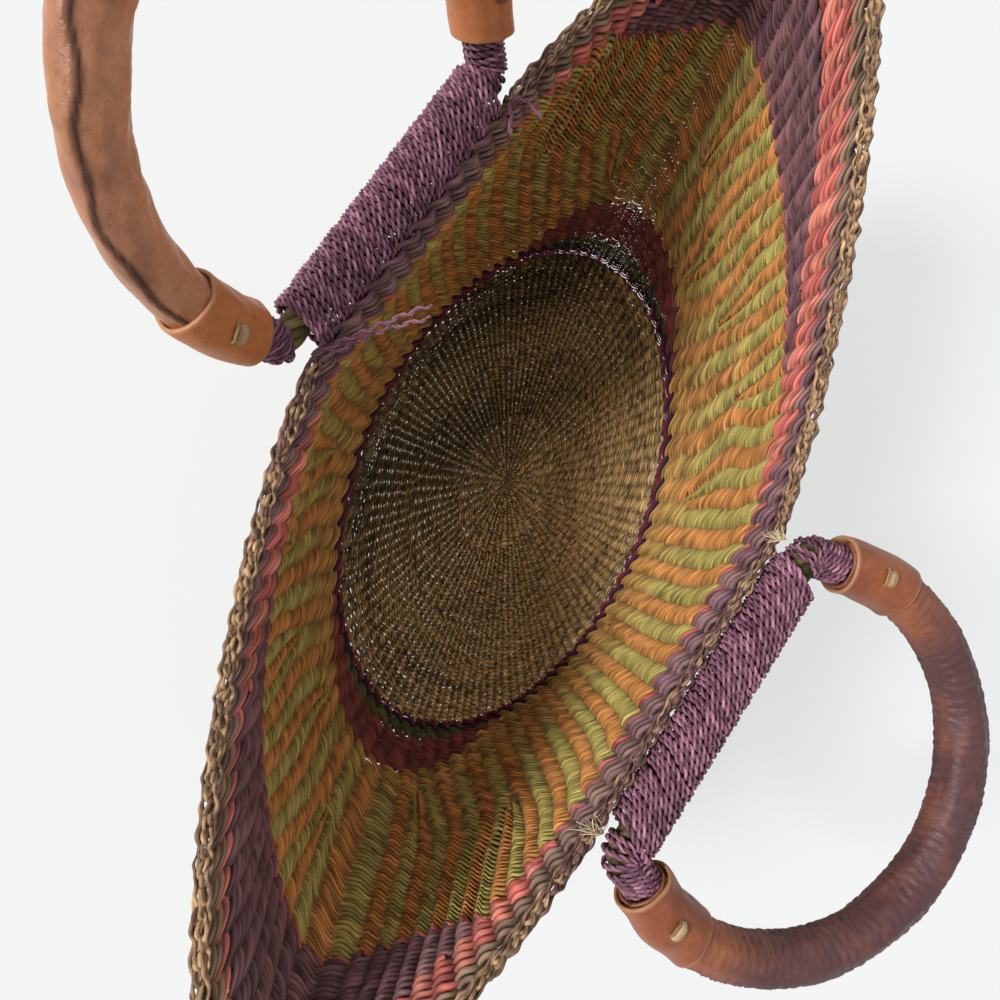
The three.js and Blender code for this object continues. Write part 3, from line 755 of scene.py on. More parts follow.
class Twining:
    """Weaves rows of two strands that pass each other between the ribs, one inside and one outside."""

    stations = 6
    sides = 6
    # Strands get painted light where they pass over a rib, and painted shade where they touch their
    # neighbours
    painted_crest_light = 0.4
    painted_gap_shade = 0.55
    tone_range = (0.5, 0.75)
    # How much a strand wanders, in pitches, and varies in thickness and tone, each over so many ribs
    wander_spread, wander_ribs = 0.1, 3
    thickness_spread, thickness_ribs = 0.09, 4
    tone_spread, tone_ribs = 0.3, 1.6

    def __init__(self, form, ribs, strand):
        self.form = form
        self.ribs = ribs
        self.strand = strand
        self.draw = np.random.default_rng(7)

    def row_line(self, out_at):
        """Phase, counted in ribs, and place round the basket of each station of a full row."""
        ribs = self.ribs.on_row(out_at)
        phase = np.arange(len(ribs) * self.stations) / self.stations
        around = np.interp(phase, np.arange(len(ribs) + 1), np.append(ribs, ribs[0] + 1))
        return phase, around

    def strands(self, skin, phase, around, out, pitch, style, closed):
        """Adds both strands of a row, or of a part of one. fades gives each strand's fade."""
        point, outward, upward = self.form.frame_at(around, out)
        for index, fade in enumerate(style["fades"]):
            angle = math.pi * (phase + index)
            swing = style["swing"] * np.cos(angle)
            swing = np.where(swing < 0, style.get("inward", 1.0) * swing, swing)
            wander = self.wander_spread * waves(new_seed(self.draw), phase / self.wander_ribs, octaves=3)
            lift = (wander - style["slant"] * np.sin(angle)) * pitch
            spread = waves(new_seed(self.draw), phase / self.thickness_ribs, octaves=4)
            uneven = 1 + self.thickness_spread * spread
            centre = point + outward * swing[:, None] + upward * lift[:, None]
            height = style["fullness"] * pitch * uneven
            depth = np.minimum(style["depth"], height) * uneven
            rings = rings_along(centre, upward, outward, height, depth, style.get("sides", self.sides))
            shade = self.tone_spread * waves(new_seed(self.draw), phase / self.tone_ribs, octaves=4)
            # Painted light on the crest over each rib, and painted shade where the strands cross
            crest_light = self.painted_crest_light * (np.abs(np.cos(angle)) - 0.5)
            tone = self.draw.uniform(*self.tone_range) + shade + crest_light
            # Painted shade on the sides of each strand that touch the next rows
            side = angles_round(rings.shape[1])
            tone = np.clip(tone[:, None] - self.painted_gap_shade * np.cos(side) ** 2, 0, 1)
            skin.add(rings, fade=fade(around, out) if callable(fade) else fade, tone=tone, closed=closed)

    def full_row(self, skin, out_at, pitch_at, style):
        phase, around = self.row_line(out_at)
        self.strands(skin, phase, around, out_at(around), pitch_at(around), style, True)

    def part_rows(self, skins, out_at, width_at, depth, pitch, style):
        """A row that runs only where its band is wide enough. Two skins take one half of the rim each, and
        a single one takes it all."""
        phase, around = self.row_line(out_at)
        inside = width_at(around) > depth
        past_middle = (around - self.form.tip_share + 0.25) % 1 >= 0.5
        halves = (~past_middle, past_middle) if len(skins) == 2 else (np.ones_like(past_middle),)
        for skin, half in zip(skins, halves):
            chosen = np.flatnonzero(inside & half)
            runs = np.split(chosen, np.flatnonzero(np.diff(chosen) > 1) + 1)
            if len(runs) > 1 and chosen[0] == 0 and chosen[-1] == len(around) - 1:
                runs[-1] = np.concatenate([runs[-1], runs.pop(0)])
            for run in runs:
                if len(run) < 2 * self.stations:
                    continue
                next_turn = phase[-1] + 1 / self.stations
                run_phase = phase[run] + np.where(run < run[0], next_turn, 0)
                run_around = around[run]
                run_pitch = np.full(len(run), pitch)
                self.strands(skin, run_phase, run_around, out_at(run_around), run_pitch, style, False)


def fine_style(strand, fades, slant=None):
    """How strands are laid. fullness is a strand's half height in pitches, and depth limits its half
    thickness."""
    return {
        "fades": fades,
        "swing": strand.swing,
        "slant": strand.slant if slant is None else slant,
        "fullness": 0.39,
        "depth": 1.3 * MILLIMETRE,
    }


def thick_style(strand, fades):
    return {
        "fades": fades,
        "swing": strand.swing * 1.1,
        "slant": strand.thick_slant,
        "fullness": 0.43,
        "depth": 1.6 * MILLIMETRE,
        "sides": 8,
    }


def basket_form():
    return BasketForm(settings("sizes"), settings("handle"))


def twining():
    form = basket_form()
    return Twining(form, Ribs(form), settings("strand"))


class Bands:
    """Edges of the coloured bands."""

    # Distances past a bar's end between which the top rows narrow and the salmon band widens
    top_narrows = (0.004, 0.06)
    salmon_widens = (0.008, 0.05)
    # Shares of its full width that the salmon band has all along, and at a tip besides
    salmon_shares = (0.42, 0.5)
    plum_power = 0.9

    def __init__(self, form):
        self.form = form
        self.sizes = form.sizes
        self.rows_width = self.sizes.magenta_width + self.sizes.navy_width

    def green(self, around):
        return self.form.crescent(around, self.sizes.green_width, GREEN_REACH)

    def maroon(self, around):
        return self.form.crescent(around, self.sizes.maroon_width, MAROON_REACH)

    def past_bar(self, around):
        """Distance along the rim past the nearer bar's end."""
        past = np.abs(from_nearest(around, 0)) - self.form.bar_end_share
        return np.clip(past, 0, None) * self.form.rim_length

    @staticmethod
    def far_side(around):
        """How far the stretch of the rim past the left bar is reached, from 0 to 1."""
        place = around % 1
        first, second, third, fourth = FAR_STRETCH
        return smooth_step(first, second, place) * (1 - smooth_step(third, fourth, place))

    def top(self, around):
        narrowed = smooth_step(*self.top_narrows, self.past_bar(around))
        return self.sizes.top_width * (1 - TOP_LOSS_SHARE * narrowed)

    def full_salmon(self, around):
        ramp = smooth_step(*self.salmon_widens, self.past_bar(around))
        everywhere, at_tip = self.salmon_shares
        part = everywhere + self.form.crescent(around, at_tip, SALMON_REACH)
        return self.sizes.salmon_width * ramp * part

    def salmon(self, around):
        return self.full_salmon(around) * (1 - SALMON_LOSS_SHARE * self.far_side(around))

    def plum(self, around):
        given = SALMON_LOSS_SHARE * self.far_side(around) * self.full_salmon(around)
        return self.form.crescent(around, self.sizes.plum_width, PLUM_REACH, self.plum_power) + given

    def striped_low(self, around):
        return self.form.from_foot(around, self.rows_width + self.green(around) + self.maroon(around))

    def striped_high(self, around):
        return self.form.from_top(around, self.top(around) + self.plum(around) + self.salmon(around))


def weave_narrow_rows(name, start, width, shade, slot, node):
    weaver = twining()
    strand = settings("strand")
    skin = Skin()
    rows = max(1, round(width / strand.fine_pitch))
    pitch = width / rows
    style = fine_style(strand, (0.0, 0.35))
    for row in range(rows):
        height = start + (row + 0.5) * pitch
        out_at = lambda around, height=height: weaver.form.from_foot(around, height)
        weaver.full_row(skin, out_at, lambda around: np.full_like(around, pitch), style)
    material = straw_material(name, shade, dimmed(shade, 0.55))
    place(skin.build(name), material, BASKET_BODY, slot, node)


def weave_crescents(name, width_at, edge_at, pitch, style, material):
    """Short rows that start from an edge and fill a crescent at each tip."""
    weaver = twining()
    skins = {"front": Skin(), "back": Skin()}
    samples = 721
    widest = float(np.max(width_at(np.linspace(0, 1, samples))))
    for row in range(int(widest / pitch)):
        depth = (row + 0.5) * pitch
        out_at = lambda around, depth=depth: edge_at(around, depth)
        weaver.part_rows(list(skins.values()), out_at, width_at, depth, pitch, style)
    for end, skin in skins.items():
        piece = skin.build(f"{name}_twining_{end}")
        place(piece, material, BASKET_BODY, f"{name}_straw", f"{name}_crescent_{end}")


# Handles

class HandleForm:
    """A ring handle's own frame: the bar lies along X at the origin and the loop stands up along Z."""

    def __init__(self, side):
        handle = settings("handle")
        self.handle = handle
        sign = 1 if side == "left" else -1
        splay = -handle.left_splay if side == "left" else handle.right_splay
        sizes = settings("sizes")
        self.inward = -sign
        self.origin = np.array(
            [sign * handle.bar_shift, sign * handle.axis_side, sizes.wall_height + sizes.plait_height / 2]
        )
        self.turn = np.array(Matrix.Rotation(splay, 3, "X"))
        self.bar_length = whole_bar(handle)
        self.radius = self.bar_length / 2 + handle.loop_swell
        self.centre = math.sqrt(self.radius**2 - (self.bar_length / 2) ** 2)

    def loop(self, turn):
        return np.stack(
            [self.radius * np.cos(turn), 0 * turn, self.centre + self.radius * np.sin(turn)], axis=-1
        )

    def outward(self, turn):
        return np.stack([np.cos(turn), 0 * turn, np.sin(turn)], axis=-1)

    def world(self, points):
        return points @ self.turn.T + self.origin

    def tube(self, line, first, second, first_radius, second_radius, sides):
        """Rings of a tube that is drawn in the handle's own frame."""
        first, second = first @ self.turn.T, second @ self.turn.T
        return rings_along(self.world(line), first, second, first_radius, second_radius, sides)

    def cover_end(self):
        return -self.handle.leg_angle + self.handle.collar_leg_gap / self.radius

    def collar_span(self, end_name):
        """Angle round the loop at which a collar starts, and how far it goes on."""
        end = self.cover_end()
        span = self.handle.collar_length / self.radius
        return (end if end_name == "right" else math.pi - end - span), span


def sleeve(form, turns, radii, sides, shape):
    """Rings round the loop at the given turns and radii. shape changes each ring's radius by side."""
    side = angles_round(sides)
    middle = form.loop(turns)
    across = np.array([0.0, 1.0, 0.0])
    radius = radii[:, None] + shape(turns[:, None], side[None, :])
    out_by = np.cos(side)[None, :, None] * form.outward(turns)[:, None, :]
    offset = out_by + np.sin(side)[None, :, None] * across[None, None, :]
    return form.world(middle[:, None, :] + radius[..., None] * offset)


def make_cover(side):
    """Leather tube with cross wrinkles and a lapped seam."""
    form = HandleForm(side)
    handle = form.handle
    end = form.cover_end()
    steps, inside_steps, sides = 460, 60, 56
    seed = 11 if side == "left" else 12
    turns = np.linspace(end, math.pi - end, steps)
    seam = -0.7 if side == "left" else 0.4
    seam_width = 0.11
    lap_height, lap_fall, lap_edge = 1.2 * MILLIMETRE, 0.5, 0.04
    wrinkle_depth, lump_height = 0.2 * MILLIMETRE, 0.4 * MILLIMETRE
    crease_depth = (0.3 if side == "left" else 0.7) * MILLIMETRE
    relief_room, leather_depth = 0.7 * MILLIMETRE, 2.6 * MILLIMETRE

    def seam_distance(turn, around):
        """Angle past the seam, which wavers along the tube in slow and quick waves."""
        place_along = turn * form.radius
        slow = 0.13 * np.sin(place_along / 0.013)
        quick = 0.09 * np.sin(place_along / 0.0047 + 1)
        return (around - (slow + quick) - seam) % FULL_TURN

    def relief(turn, around):
        place_along = turn * form.radius
        past = seam_distance(turn, around)
        lap = lap_height * np.exp(-past / lap_fall) * (past > lap_edge)
        wrinkles = waves(seed, place_along / 0.011, np.cos(around) * 0.7, np.sin(around) * 0.7)
        ridges = np.abs(waves(seed + 1, place_along / 0.009, np.sin(around) * 0.5, octaves=3))
        creases = np.exp(-ridges / 0.25)
        lumps = waves(seed + 2, place_along / 0.05, np.cos(around) * 0.5, np.sin(around) * 0.5)
        return lap + wrinkle_depth * wrinkles + lump_height * lumps - crease_depth * creases

    radius = handle.cover_radius
    outside = sleeve(form, turns, np.full(steps, radius - relief_room), sides, relief)
    inner_turns = np.linspace(math.pi - end, end, inside_steps)
    smooth = lambda turn, around: 0 * turn * around
    inside = sleeve(form, inner_turns, np.full(inside_steps, radius - leather_depth), sides, smooth)
    skin = Skin()
    rings = np.concatenate([outside, inside])
    around = angles_round(sides)[None, :]
    past = seam_distance(turns[:, None], around)
    seam_shade = np.exp(-((np.minimum(past, FULL_TURN - past) / seam_width) ** 2))
    fade = np.concatenate([seam_shade, np.zeros((inside_steps, sides))])
    from_end = (np.minimum(turns, math.pi - turns) - end)[:, None] * form.radius
    # Painted shade darkens the left cover on the side towards its seam. The right cover darkens with wear
    # away from its collars, and a little towards its seam. The inside of the tube takes the full dark colour.
    if side == "left":
        wear_and_shade = 0.5 * np.clip(np.cos(around - seam), 0, 1) ** 2 + 0 * from_end
    else:
        wear_and_shade = 0.1 + 0.85 * smooth_step(0.035, 0.085, from_end) + 0.1 * np.cos(around - seam)
    tone = np.concatenate([wear_and_shade, np.ones((inside_steps, sides))])
    skin.add(rings, fade=fade, tone=tone, closed=True)
    return skin


def make_collar(side, end_name):
    """Flat leather band round the cover's end, with a raw edge."""
    form = HandleForm(side)
    start, span = form.collar_span(end_name)
    outer = form.handle.collar_radius
    inner = outer - 1.7 * MILLIMETRE
    edge = outer - 0.4 * MILLIMETRE
    # Section of the band, as shares of its width and distances from the loop's centre line
    profile = [(0, inner), (0, edge), (0.012, outer)]
    profile += [(part, outer) for part in np.linspace(0.05, 0.95, 30)]
    profile += [(0.988, outer), (1, edge), (1, inner), (0.66, inner), (0.33, inner)]
    parts = np.array(profile)
    lump_height = 0.45 * MILLIMETRE
    lap_height, lap_fall, lap_edge, lap_turn = 0.9 * MILLIMETRE, 0.35, 0.05, 2.2
    seed = {"left": 30, "right": 40}[side] + (end_name == "left")

    def relief(turn, around):
        along = (turn - start) / span
        lumps = waves(seed, along * 1.3, np.cos(around) * 0.6, np.sin(around) * 0.6, octaves=4)
        past = (around + lap_turn * form.inward) % FULL_TURN
        lap = lap_height * np.exp(-past / lap_fall) * (past > lap_edge)
        return lump_height * lumps + lap

    sides = 64
    rings = sleeve(form, start + span * parts[:, 0], parts[:, 1], sides, relief)
    raw = 0.7 - 0.7 * smooth_step(0.0, 0.03, np.minimum(parts[:, 0], 1 - parts[:, 0]))
    skin = Skin()
    skin.add(rings, fade=raw, tone=0.2 if side == "left" else 0.9, closed=True)
    return skin


def bend_line(form, steps):
    """Bend of the straw rope from a leg down to its bar's end."""
    handle = form.handle
    leg = -handle.leg_angle
    at_leg = form.loop(np.array(leg))
    along = np.array([-math.sin(leg), 0, math.cos(leg)])
    pull = handle.bend_pull
    bar_end = np.array([handle.lashing_length / 2 + handle.bar_lead, 0, 0])
    return cubic([at_leg, at_leg - along * pull, bar_end + [pull, 0, 0], bar_end], steps)


def leg_line(form, skipped):
    """Line of the rope from the lashing to a little way into the collar."""
    handle = form.handle
    leg = -handle.leg_angle
    arc = form.loop(np.linspace(leg, form.cover_end() + handle.elbow_tuck / form.radius, 5))
    start = [handle.lashing_length / 2 + handle.ply_radius, 0, 0]
    line = np.vstack([[start], bend_line(form, 24)[::-1], arc[1:]])
    marks = lengths_along(line)
    return resampled(line, marks, np.linspace(skipped, marks[-1], 60))


def core_line(form):
    """Centre line of the straw rope: the arc, the bends at the bar's ends and the bar."""
    leg = -form.handle.leg_angle
    bend = bend_line(form, 8)
    arc = form.loop(np.linspace(math.pi / 2, leg, 60))
    half = np.vstack([arc, bend[1:]])
    mirrored = (half * [-1, 1, 1])[::-1]
    return spaced(np.vstack([half, mirrored[:-1]]), 380)


def make_core(side):
    """Rope of straw strands."""
    form = HandleForm(side)
    line = core_line(form)
    first, second = frames_along(line, [0, 1, 0])
    marks = lengths_along(line)
    skin = Skin()
    strands = 6
    lay_length = 0.06
    # The rope shows at one end of the left bar, past this distance from the bar's middle
    shown_from, shown_whole = 0.06, 0.07
    strand_radius = form.handle.rope_radius / 2.75
    offset = form.handle.rope_radius - strand_radius
    for strand in range(strands):
        turn = marks / lay_length * FULL_TURN + strand / strands * FULL_TURN
        centre = line + offset * turned(turn, first, second)
        radius = strand_radius * (1 + 0.05 * waves(50 + strand, marks / 0.02, octaves=3))
        shows = smooth_step(shown_from, shown_whole, -line[:, 0]) if side == "left" else 0 * marks
        tone = mix(0.0, 0.6, shows) + 0.1 * waves(60 + strand, marks / 0.03)
        rings = form.tube(centre, first, second, radius, radius, 8)
        skin.add(rings, fade=(strand % 3) / 2, tone=np.clip(tone, 0, 1))
    return skin


PLY_SIDES = 6
# Distance of a ply's centre from the cord's, in radii of a ply
PLY_OFFSET = 0.86


def painted_ply_shade(tone, twist):
    """Paints shade on the side of a ply that touches the other one, and light on its outer side."""
    contrast = 0.35
    return np.clip(tone[:, None] + contrast * np.cos(angles_round(PLY_SIDES) - twist[:, None]), 0, 1)


def make_elbow(side, end_name):
    """Cord wound over the rope between the lashing and a collar."""
    form = HandleForm(side)
    handle = form.handle
    ply_radius = handle.ply_radius
    rope_shows = (7 if (side, end_name) == ("left", "left") else 0.8) * MILLIMETRE
    line = leg_line(form, rope_shows)
    if end_name == "left":
        line = line * [-1, 1, 1]
    length = lengths_along(line)[-1]
    turns = length / (2.9 * ply_radius)
    stations = 36
    number = int(turns * stations) + 1
    centre = spaced(line, number)
    first, second = frames_along(centre, [0, 1, 0])
    turn = np.linspace(0, turns * FULL_TURN, number)
    reach = handle.rope_radius + 1.3 * ply_radius
    cord = centre + reach * turned(turn, first, second)
    skin = Skin()
    aside, lift = frames_along(cord, unit(np.gradient(centre, axis=0)))
    marks = lengths_along(cord)
    for ply in range(2):
        twist = marks / handle.twist_length * FULL_TURN + ply * math.pi
        strand = cord + PLY_OFFSET * ply_radius * turned(twist, aside, lift)
        rings = form.tube(strand, aside, lift, ply_radius, ply_radius, PLY_SIDES)
        wear = np.clip(0.35 + 0.4 * waves(86 + ply, turn / 5, np.cos(turn)), 0, 1)
        # The plies get painted shade where they touch and painted light on their outer sides
        skin.add(rings, fade=wear, tone=painted_ply_shade(0.45 + 0.25 * waves(88 + ply, turn / 4), twist))
    return skin


def make_knot(side, end_name):
    """Stitches of brown straw, side by side, that pin a collar."""
    form = HandleForm(side)
    start, span = form.collar_span(end_name)
    turn = np.array(start + span / 2)
    out = form.outward(turn)
    along = np.array([-math.sin(turn), 0, math.cos(turn)])
    lift = np.array([0.0, form.inward, 0.0])
    sunk, arch_height, stitch_step = 0.6 * MILLIMETRE, 2.3 * MILLIMETRE, 1.6 * MILLIMETRE
    thick, wide = 0.7 * MILLIMETRE, 1.0 * MILLIMETRE
    stitches = 4
    base = form.loop(turn) + lift * (form.handle.collar_radius - sunk)
    skin = Skin()
    draw = np.random.default_rng(90 + 2 * (side == "left") + (end_name == "left"))
    direction = draw.uniform(-0.25, 0.25)
    across = math.cos(direction) * out + math.sin(direction) * along
    aside = math.cos(direction) * along - math.sin(direction) * out
    for number in range(stitches):
        reach = draw.uniform(0.0034, 0.0046)
        part = np.linspace(-1, 1, 17)[:, None]
        place_aside = (number - (stitches - 1) / 2) * stitch_step + draw.uniform(-0.0003, 0.0003)
        arch = lift * (arch_height * (1 - part**4)) + across * (reach * part)
        line = base + (arch + aside * place_aside * (1 - 0.4 * part**2))
        first, second = frames_along(line, lift)
        rings = form.tube(line, first, second, thick, wide, 8)
        skin.add(rings, fade=draw.uniform(0, 0.8), tone=draw.uniform(0.3, 0.7))
    return skin


# Lashings

# Outline of one turn of the lashing, as (outward, up) from the bar's axis. The left one reaches to the rim.
ROUND_BAR = [
    (-0.002, -0.0118),
    (0.0060, -0.0101),
    (0.0110, -0.0040),
    (0.0114, 0.0032),
    (0.0071, 0.0092),
    (0.0000, 0.0117),
]
LEFT_LOOP = ROUND_BAR + [
    (-0.0080, 0.0104),
    (-0.0135, 0.0072),
    (-0.0160, 0.0010),
    (-0.0152, -0.0060),
    (-0.0110, -0.0104),
]
RIGHT_LOOP = ROUND_BAR + [
    (-0.0068, 0.0095),
    (-0.0112, 0.0035),
    (-0.0116, -0.0030),
    (-0.0090, -0.0085),
]


def make_lashing(side):
    """Two-ply cord wound over a bar. On the left bar each turn also reaches the rim."""
    form = HandleForm(side)
    handle = form.handle
    ply_radius = handle.ply_radius
    outline = LEFT_LOOP if side == "left" else RIGHT_LOOP
    loop = through([(0, y, z) for y, z in outline], 16, closed=True)
    loop = np.vstack([loop, loop[:1]])
    stations = 84
    ring = spaced(loop, stations + 1)[:-1]
    turns = handle.lashing_turns
    pitch = (handle.lashing_length - 4 * ply_radius) / turns
    line = np.tile(ring, (turns, 1))
    progress = np.arange(len(line)) / stations
    # How far each turn slips along the bar on its way round
    lean = (7.5 if side == "right" else 3.5) * MILLIMETRE
    lean_from = 0.33
    part = progress % 1
    slip = lean * np.cos(FULL_TURN * (part - lean_from)) * np.sin(math.pi * part)
    uneven = 0.4 * MILLIMETRE * waves(70 + (side == "left"), progress / 1.7, part * 2)
    line[:, 0] = (progress - turns / 2) * pitch + slip + uneven
    swell_share = 0.025
    swell = 1 + swell_share * waves(72 + (side == "left"), progress / 1.3, part, octaves=4)
    line[:, 1:] *= swell[:, None]
    first, second = frames_along(line, [1, 0, 0])
    marks = lengths_along(line)
    skin = Skin()
    sign = 1 if side == "left" else -1
    flip = np.array([sign, sign, 1])
    for ply in range(2):
        turn = marks / handle.twist_length * FULL_TURN + ply * math.pi
        centre = line + ply_radius * PLY_OFFSET * turned(turn, first, second)
        centre = centre * flip + form.origin
        wear = 0.4 + 0.4 * waves(80 + ply, progress / 2, part * 4)
        rings = rings_along(centre, first * flip, second * flip, ply_radius, ply_radius, PLY_SIDES)
        tone = 0.5 + 0.25 * waves(82 + ply, progress, part * 3)
        # The plies get painted shade where they touch and painted light on their outer sides
        skin.add(rings, fade=np.clip(wear, 0, 1), tone=painted_ply_shade(tone, turn))
    return skin


# Loose ends and tufts

# End of the left bar, and the route in millimetres from the top of the plait there
LOOSE_ENDS = {
    "long_cord_end_1": (
        -1,
        [(-3, 1, 1.8), (12, -6.5, 4.4), (26, -15.5, 7.4), (38, -22.5, 7.4), (50, -29, 4.4)],
    ),
    "long_cord_end_2": (
        -1,
        [(-1, -3, 1.8), (13, -10, 3.4), (27, -18.5, 5.4), (37, -26.5, 5.4), (45, -32, 3.4)],
    ),
    "short_cord_end_1": (1, [(-6, -2, 1.8), (-10, -5, 3.4), (-15, -8.5, 4.4), (-20, -11, 3.4)]),
    "short_cord_end_2": (1, [(-2, -1.5, 1.8), (-1, -7, 3.4), (-1.5, -13, 4.4), (-4, -18.5, 3.4)]),
}


def plait_top():
    sizes = settings("sizes")
    return sizes.wall_height + sizes.plait_gap + sizes.plait_height


def loose_line(name):
    """Line of a loose end."""
    handle = settings("handle")
    end, route = LOOSE_ENDS[name]
    bar_end = handle.bar_shift + end * whole_bar(handle) / 2
    start = np.array([bar_end, settings("sizes").rim_half_width, plait_top()])
    return spaced(through(np.array(route) * MILLIMETRE + start, 12), 121)


def twisted_cord(line, diameter, twist_length, fade, tone):
    """Two plies twisted round a line, thinner at the far end."""
    first, second = frames_along(line, [0, 0, 1])
    marks = lengths_along(line)
    ply = diameter / 4
    taper = 1 - 0.35 * smooth_step(0.85, 1, marks / marks[-1])
    skin = Skin()
    for index in range(2):
        turn = marks / twist_length * FULL_TURN + index * math.pi
        centre = line + ply * taper[:, None] * turned(turn, first, second)
        skin.add(rings_along(centre, first, second, ply * taper, ply * taper, 8), fade=fade, tone=tone)
    return skin


def make_loose_end(name):
    handle = settings("handle")
    line = loose_line(name)
    marks = lengths_along(line)
    aside, _ = frames_along(line, [0, 0, 1])
    aside = np.cross(unit(np.gradient(line, axis=0)), aside)
    wave_height, wave_length, straight_length = 0.7 * MILLIMETRE, 9.5 * MILLIMETRE, 10 * MILLIMETRE
    wave = wave_height * np.sin(marks / wave_length * FULL_TURN) * smooth_step(0, straight_length, marks)
    fade = 0.2 + 0.8 * smooth_step(0.35, 0.9, marks / marks[-1])
    skin = twisted_cord(line + aside * wave[:, None], handle.loose_diameter, handle.twist_length, fade, 0.6)
    return skin, line


def make_tuft(side_sign, seed):
    """Frayed straw that stands out of the plait at an end of the right bar."""
    handle = settings("handle")
    sizes = settings("sizes")
    bar_end = side_sign * whole_bar(handle) / 2 - handle.bar_shift
    height = 3.3 * MILLIMETRE
    thickness = 0.5 * MILLIMETRE
    base = np.array([bar_end, -sizes.rim_half_width, plait_top() + height])
    lean = unit(np.array([1.0, 1.0, 0.0]))
    across = np.array([-lean[1], lean[0], 0.0])
    up = np.array([0.0, 0.0, 1.0])
    draw = np.random.default_rng(seed)
    skin = Skin()
    straws = 30
    for _ in range(straws):
        aim = lean * draw.uniform(0, 1) + across * draw.uniform(-0.2, 1) + up * draw.normal(0.02, 0.2)
        length = draw.uniform(0.003, 0.009)
        root = base + across * draw.uniform(-0.0022, 0.0022) + up * draw.uniform(-0.0022, 0.0015)
        bend = across * draw.normal(0, 0.0016) + up * draw.normal(-0.0008, 0.0012)
        part = np.linspace(0, 1, 9)[:, None]
        line = root + unit(aim) * (length * part) + bend * part**2
        first, second = frames_along(line, up + 0.1 * across)
        radius = thickness * (1 - 0.6 * part[:, 0])
        rings = rings_along(line, first, second, radius, radius * 0.7, 5)
        skin.add(rings, fade=part[:, 0], tone=draw.uniform(0.3, 0.7))
    return skin


# Operators

# Sensor and lens in millimetres, and the camera's place and directions
SENSOR_WIDTH = 36
LENS = 27.18
CAMERA_PLACE = (-0.0788, 0.0247, 0.5827)
CAMERA_RIGHT = (0.56391, -0.81788, 0.11437)
CAMERA_UP = (0.81564, 0.57327, 0.07801)
CAMERA_BACK = (-0.12937, 0.0493, 0.99037)


class BASKET_OT_camera(Operator):
    """Places the camera at the photograph's view"""

    bl_idname = "basket.camera"
    bl_label = "Camera"

    def execute(self, context):
        camera = bpy.data.cameras.new("camera")
        camera.sensor_width = SENSOR_WIDTH
        camera.lens = LENS
        camera.clip_start = 0.01
        holder = bpy.data.objects.new("camera", camera)
        context.scene.collection.objects.link(holder)
        place_in_space = Matrix((CAMERA_RIGHT, CAMERA_UP, CAMERA_BACK)).transposed().to_4x4()
        place_in_space.translation = CAMERA_PLACE
        holder.matrix_world = place_in_space
        context.scene.camera = holder
        return {"FINISHED"}


class BASKET_OT_loose_ends(Operator):
    """Adds the loose ends of the lashing cord"""

    bl_idname = "basket.loose_ends"
    bl_label = "Loose cord ends"

    def execute(self, context):
        handle = settings("handle")
        colours = settings("straw")
        material = straw_material("loose cord", colours.cord_mauve, colours.cord_pink, 0.55, streak=0.2)
        for node in LOOSE_ENDS:
            skin, line = make_loose_end(node)
            piece = place(skin.build(f"{node}_twist"), material, BASKET_BODY, "lashing_cord", node)
        return {"FINISHED"}


# Directions in which the floor's weave gets more open, and in which painted shade darkens it as the wall's
# shadow
OPEN_SIDE = (-0.56, 0.82, 0)
SHADOWED_SIDE = (0.1, 0.99, 0)
# The spiral starts at this share of the way from the floor's centre to its edge
FLOOR_START = 0.004
# First row, last row and number of ribs of each ring of the floor
FLOOR_STAGES = [(0, 7, 20), (7, 18, 40), (18, 36, 80), (36, 48, 120), (48, 60, 120)]


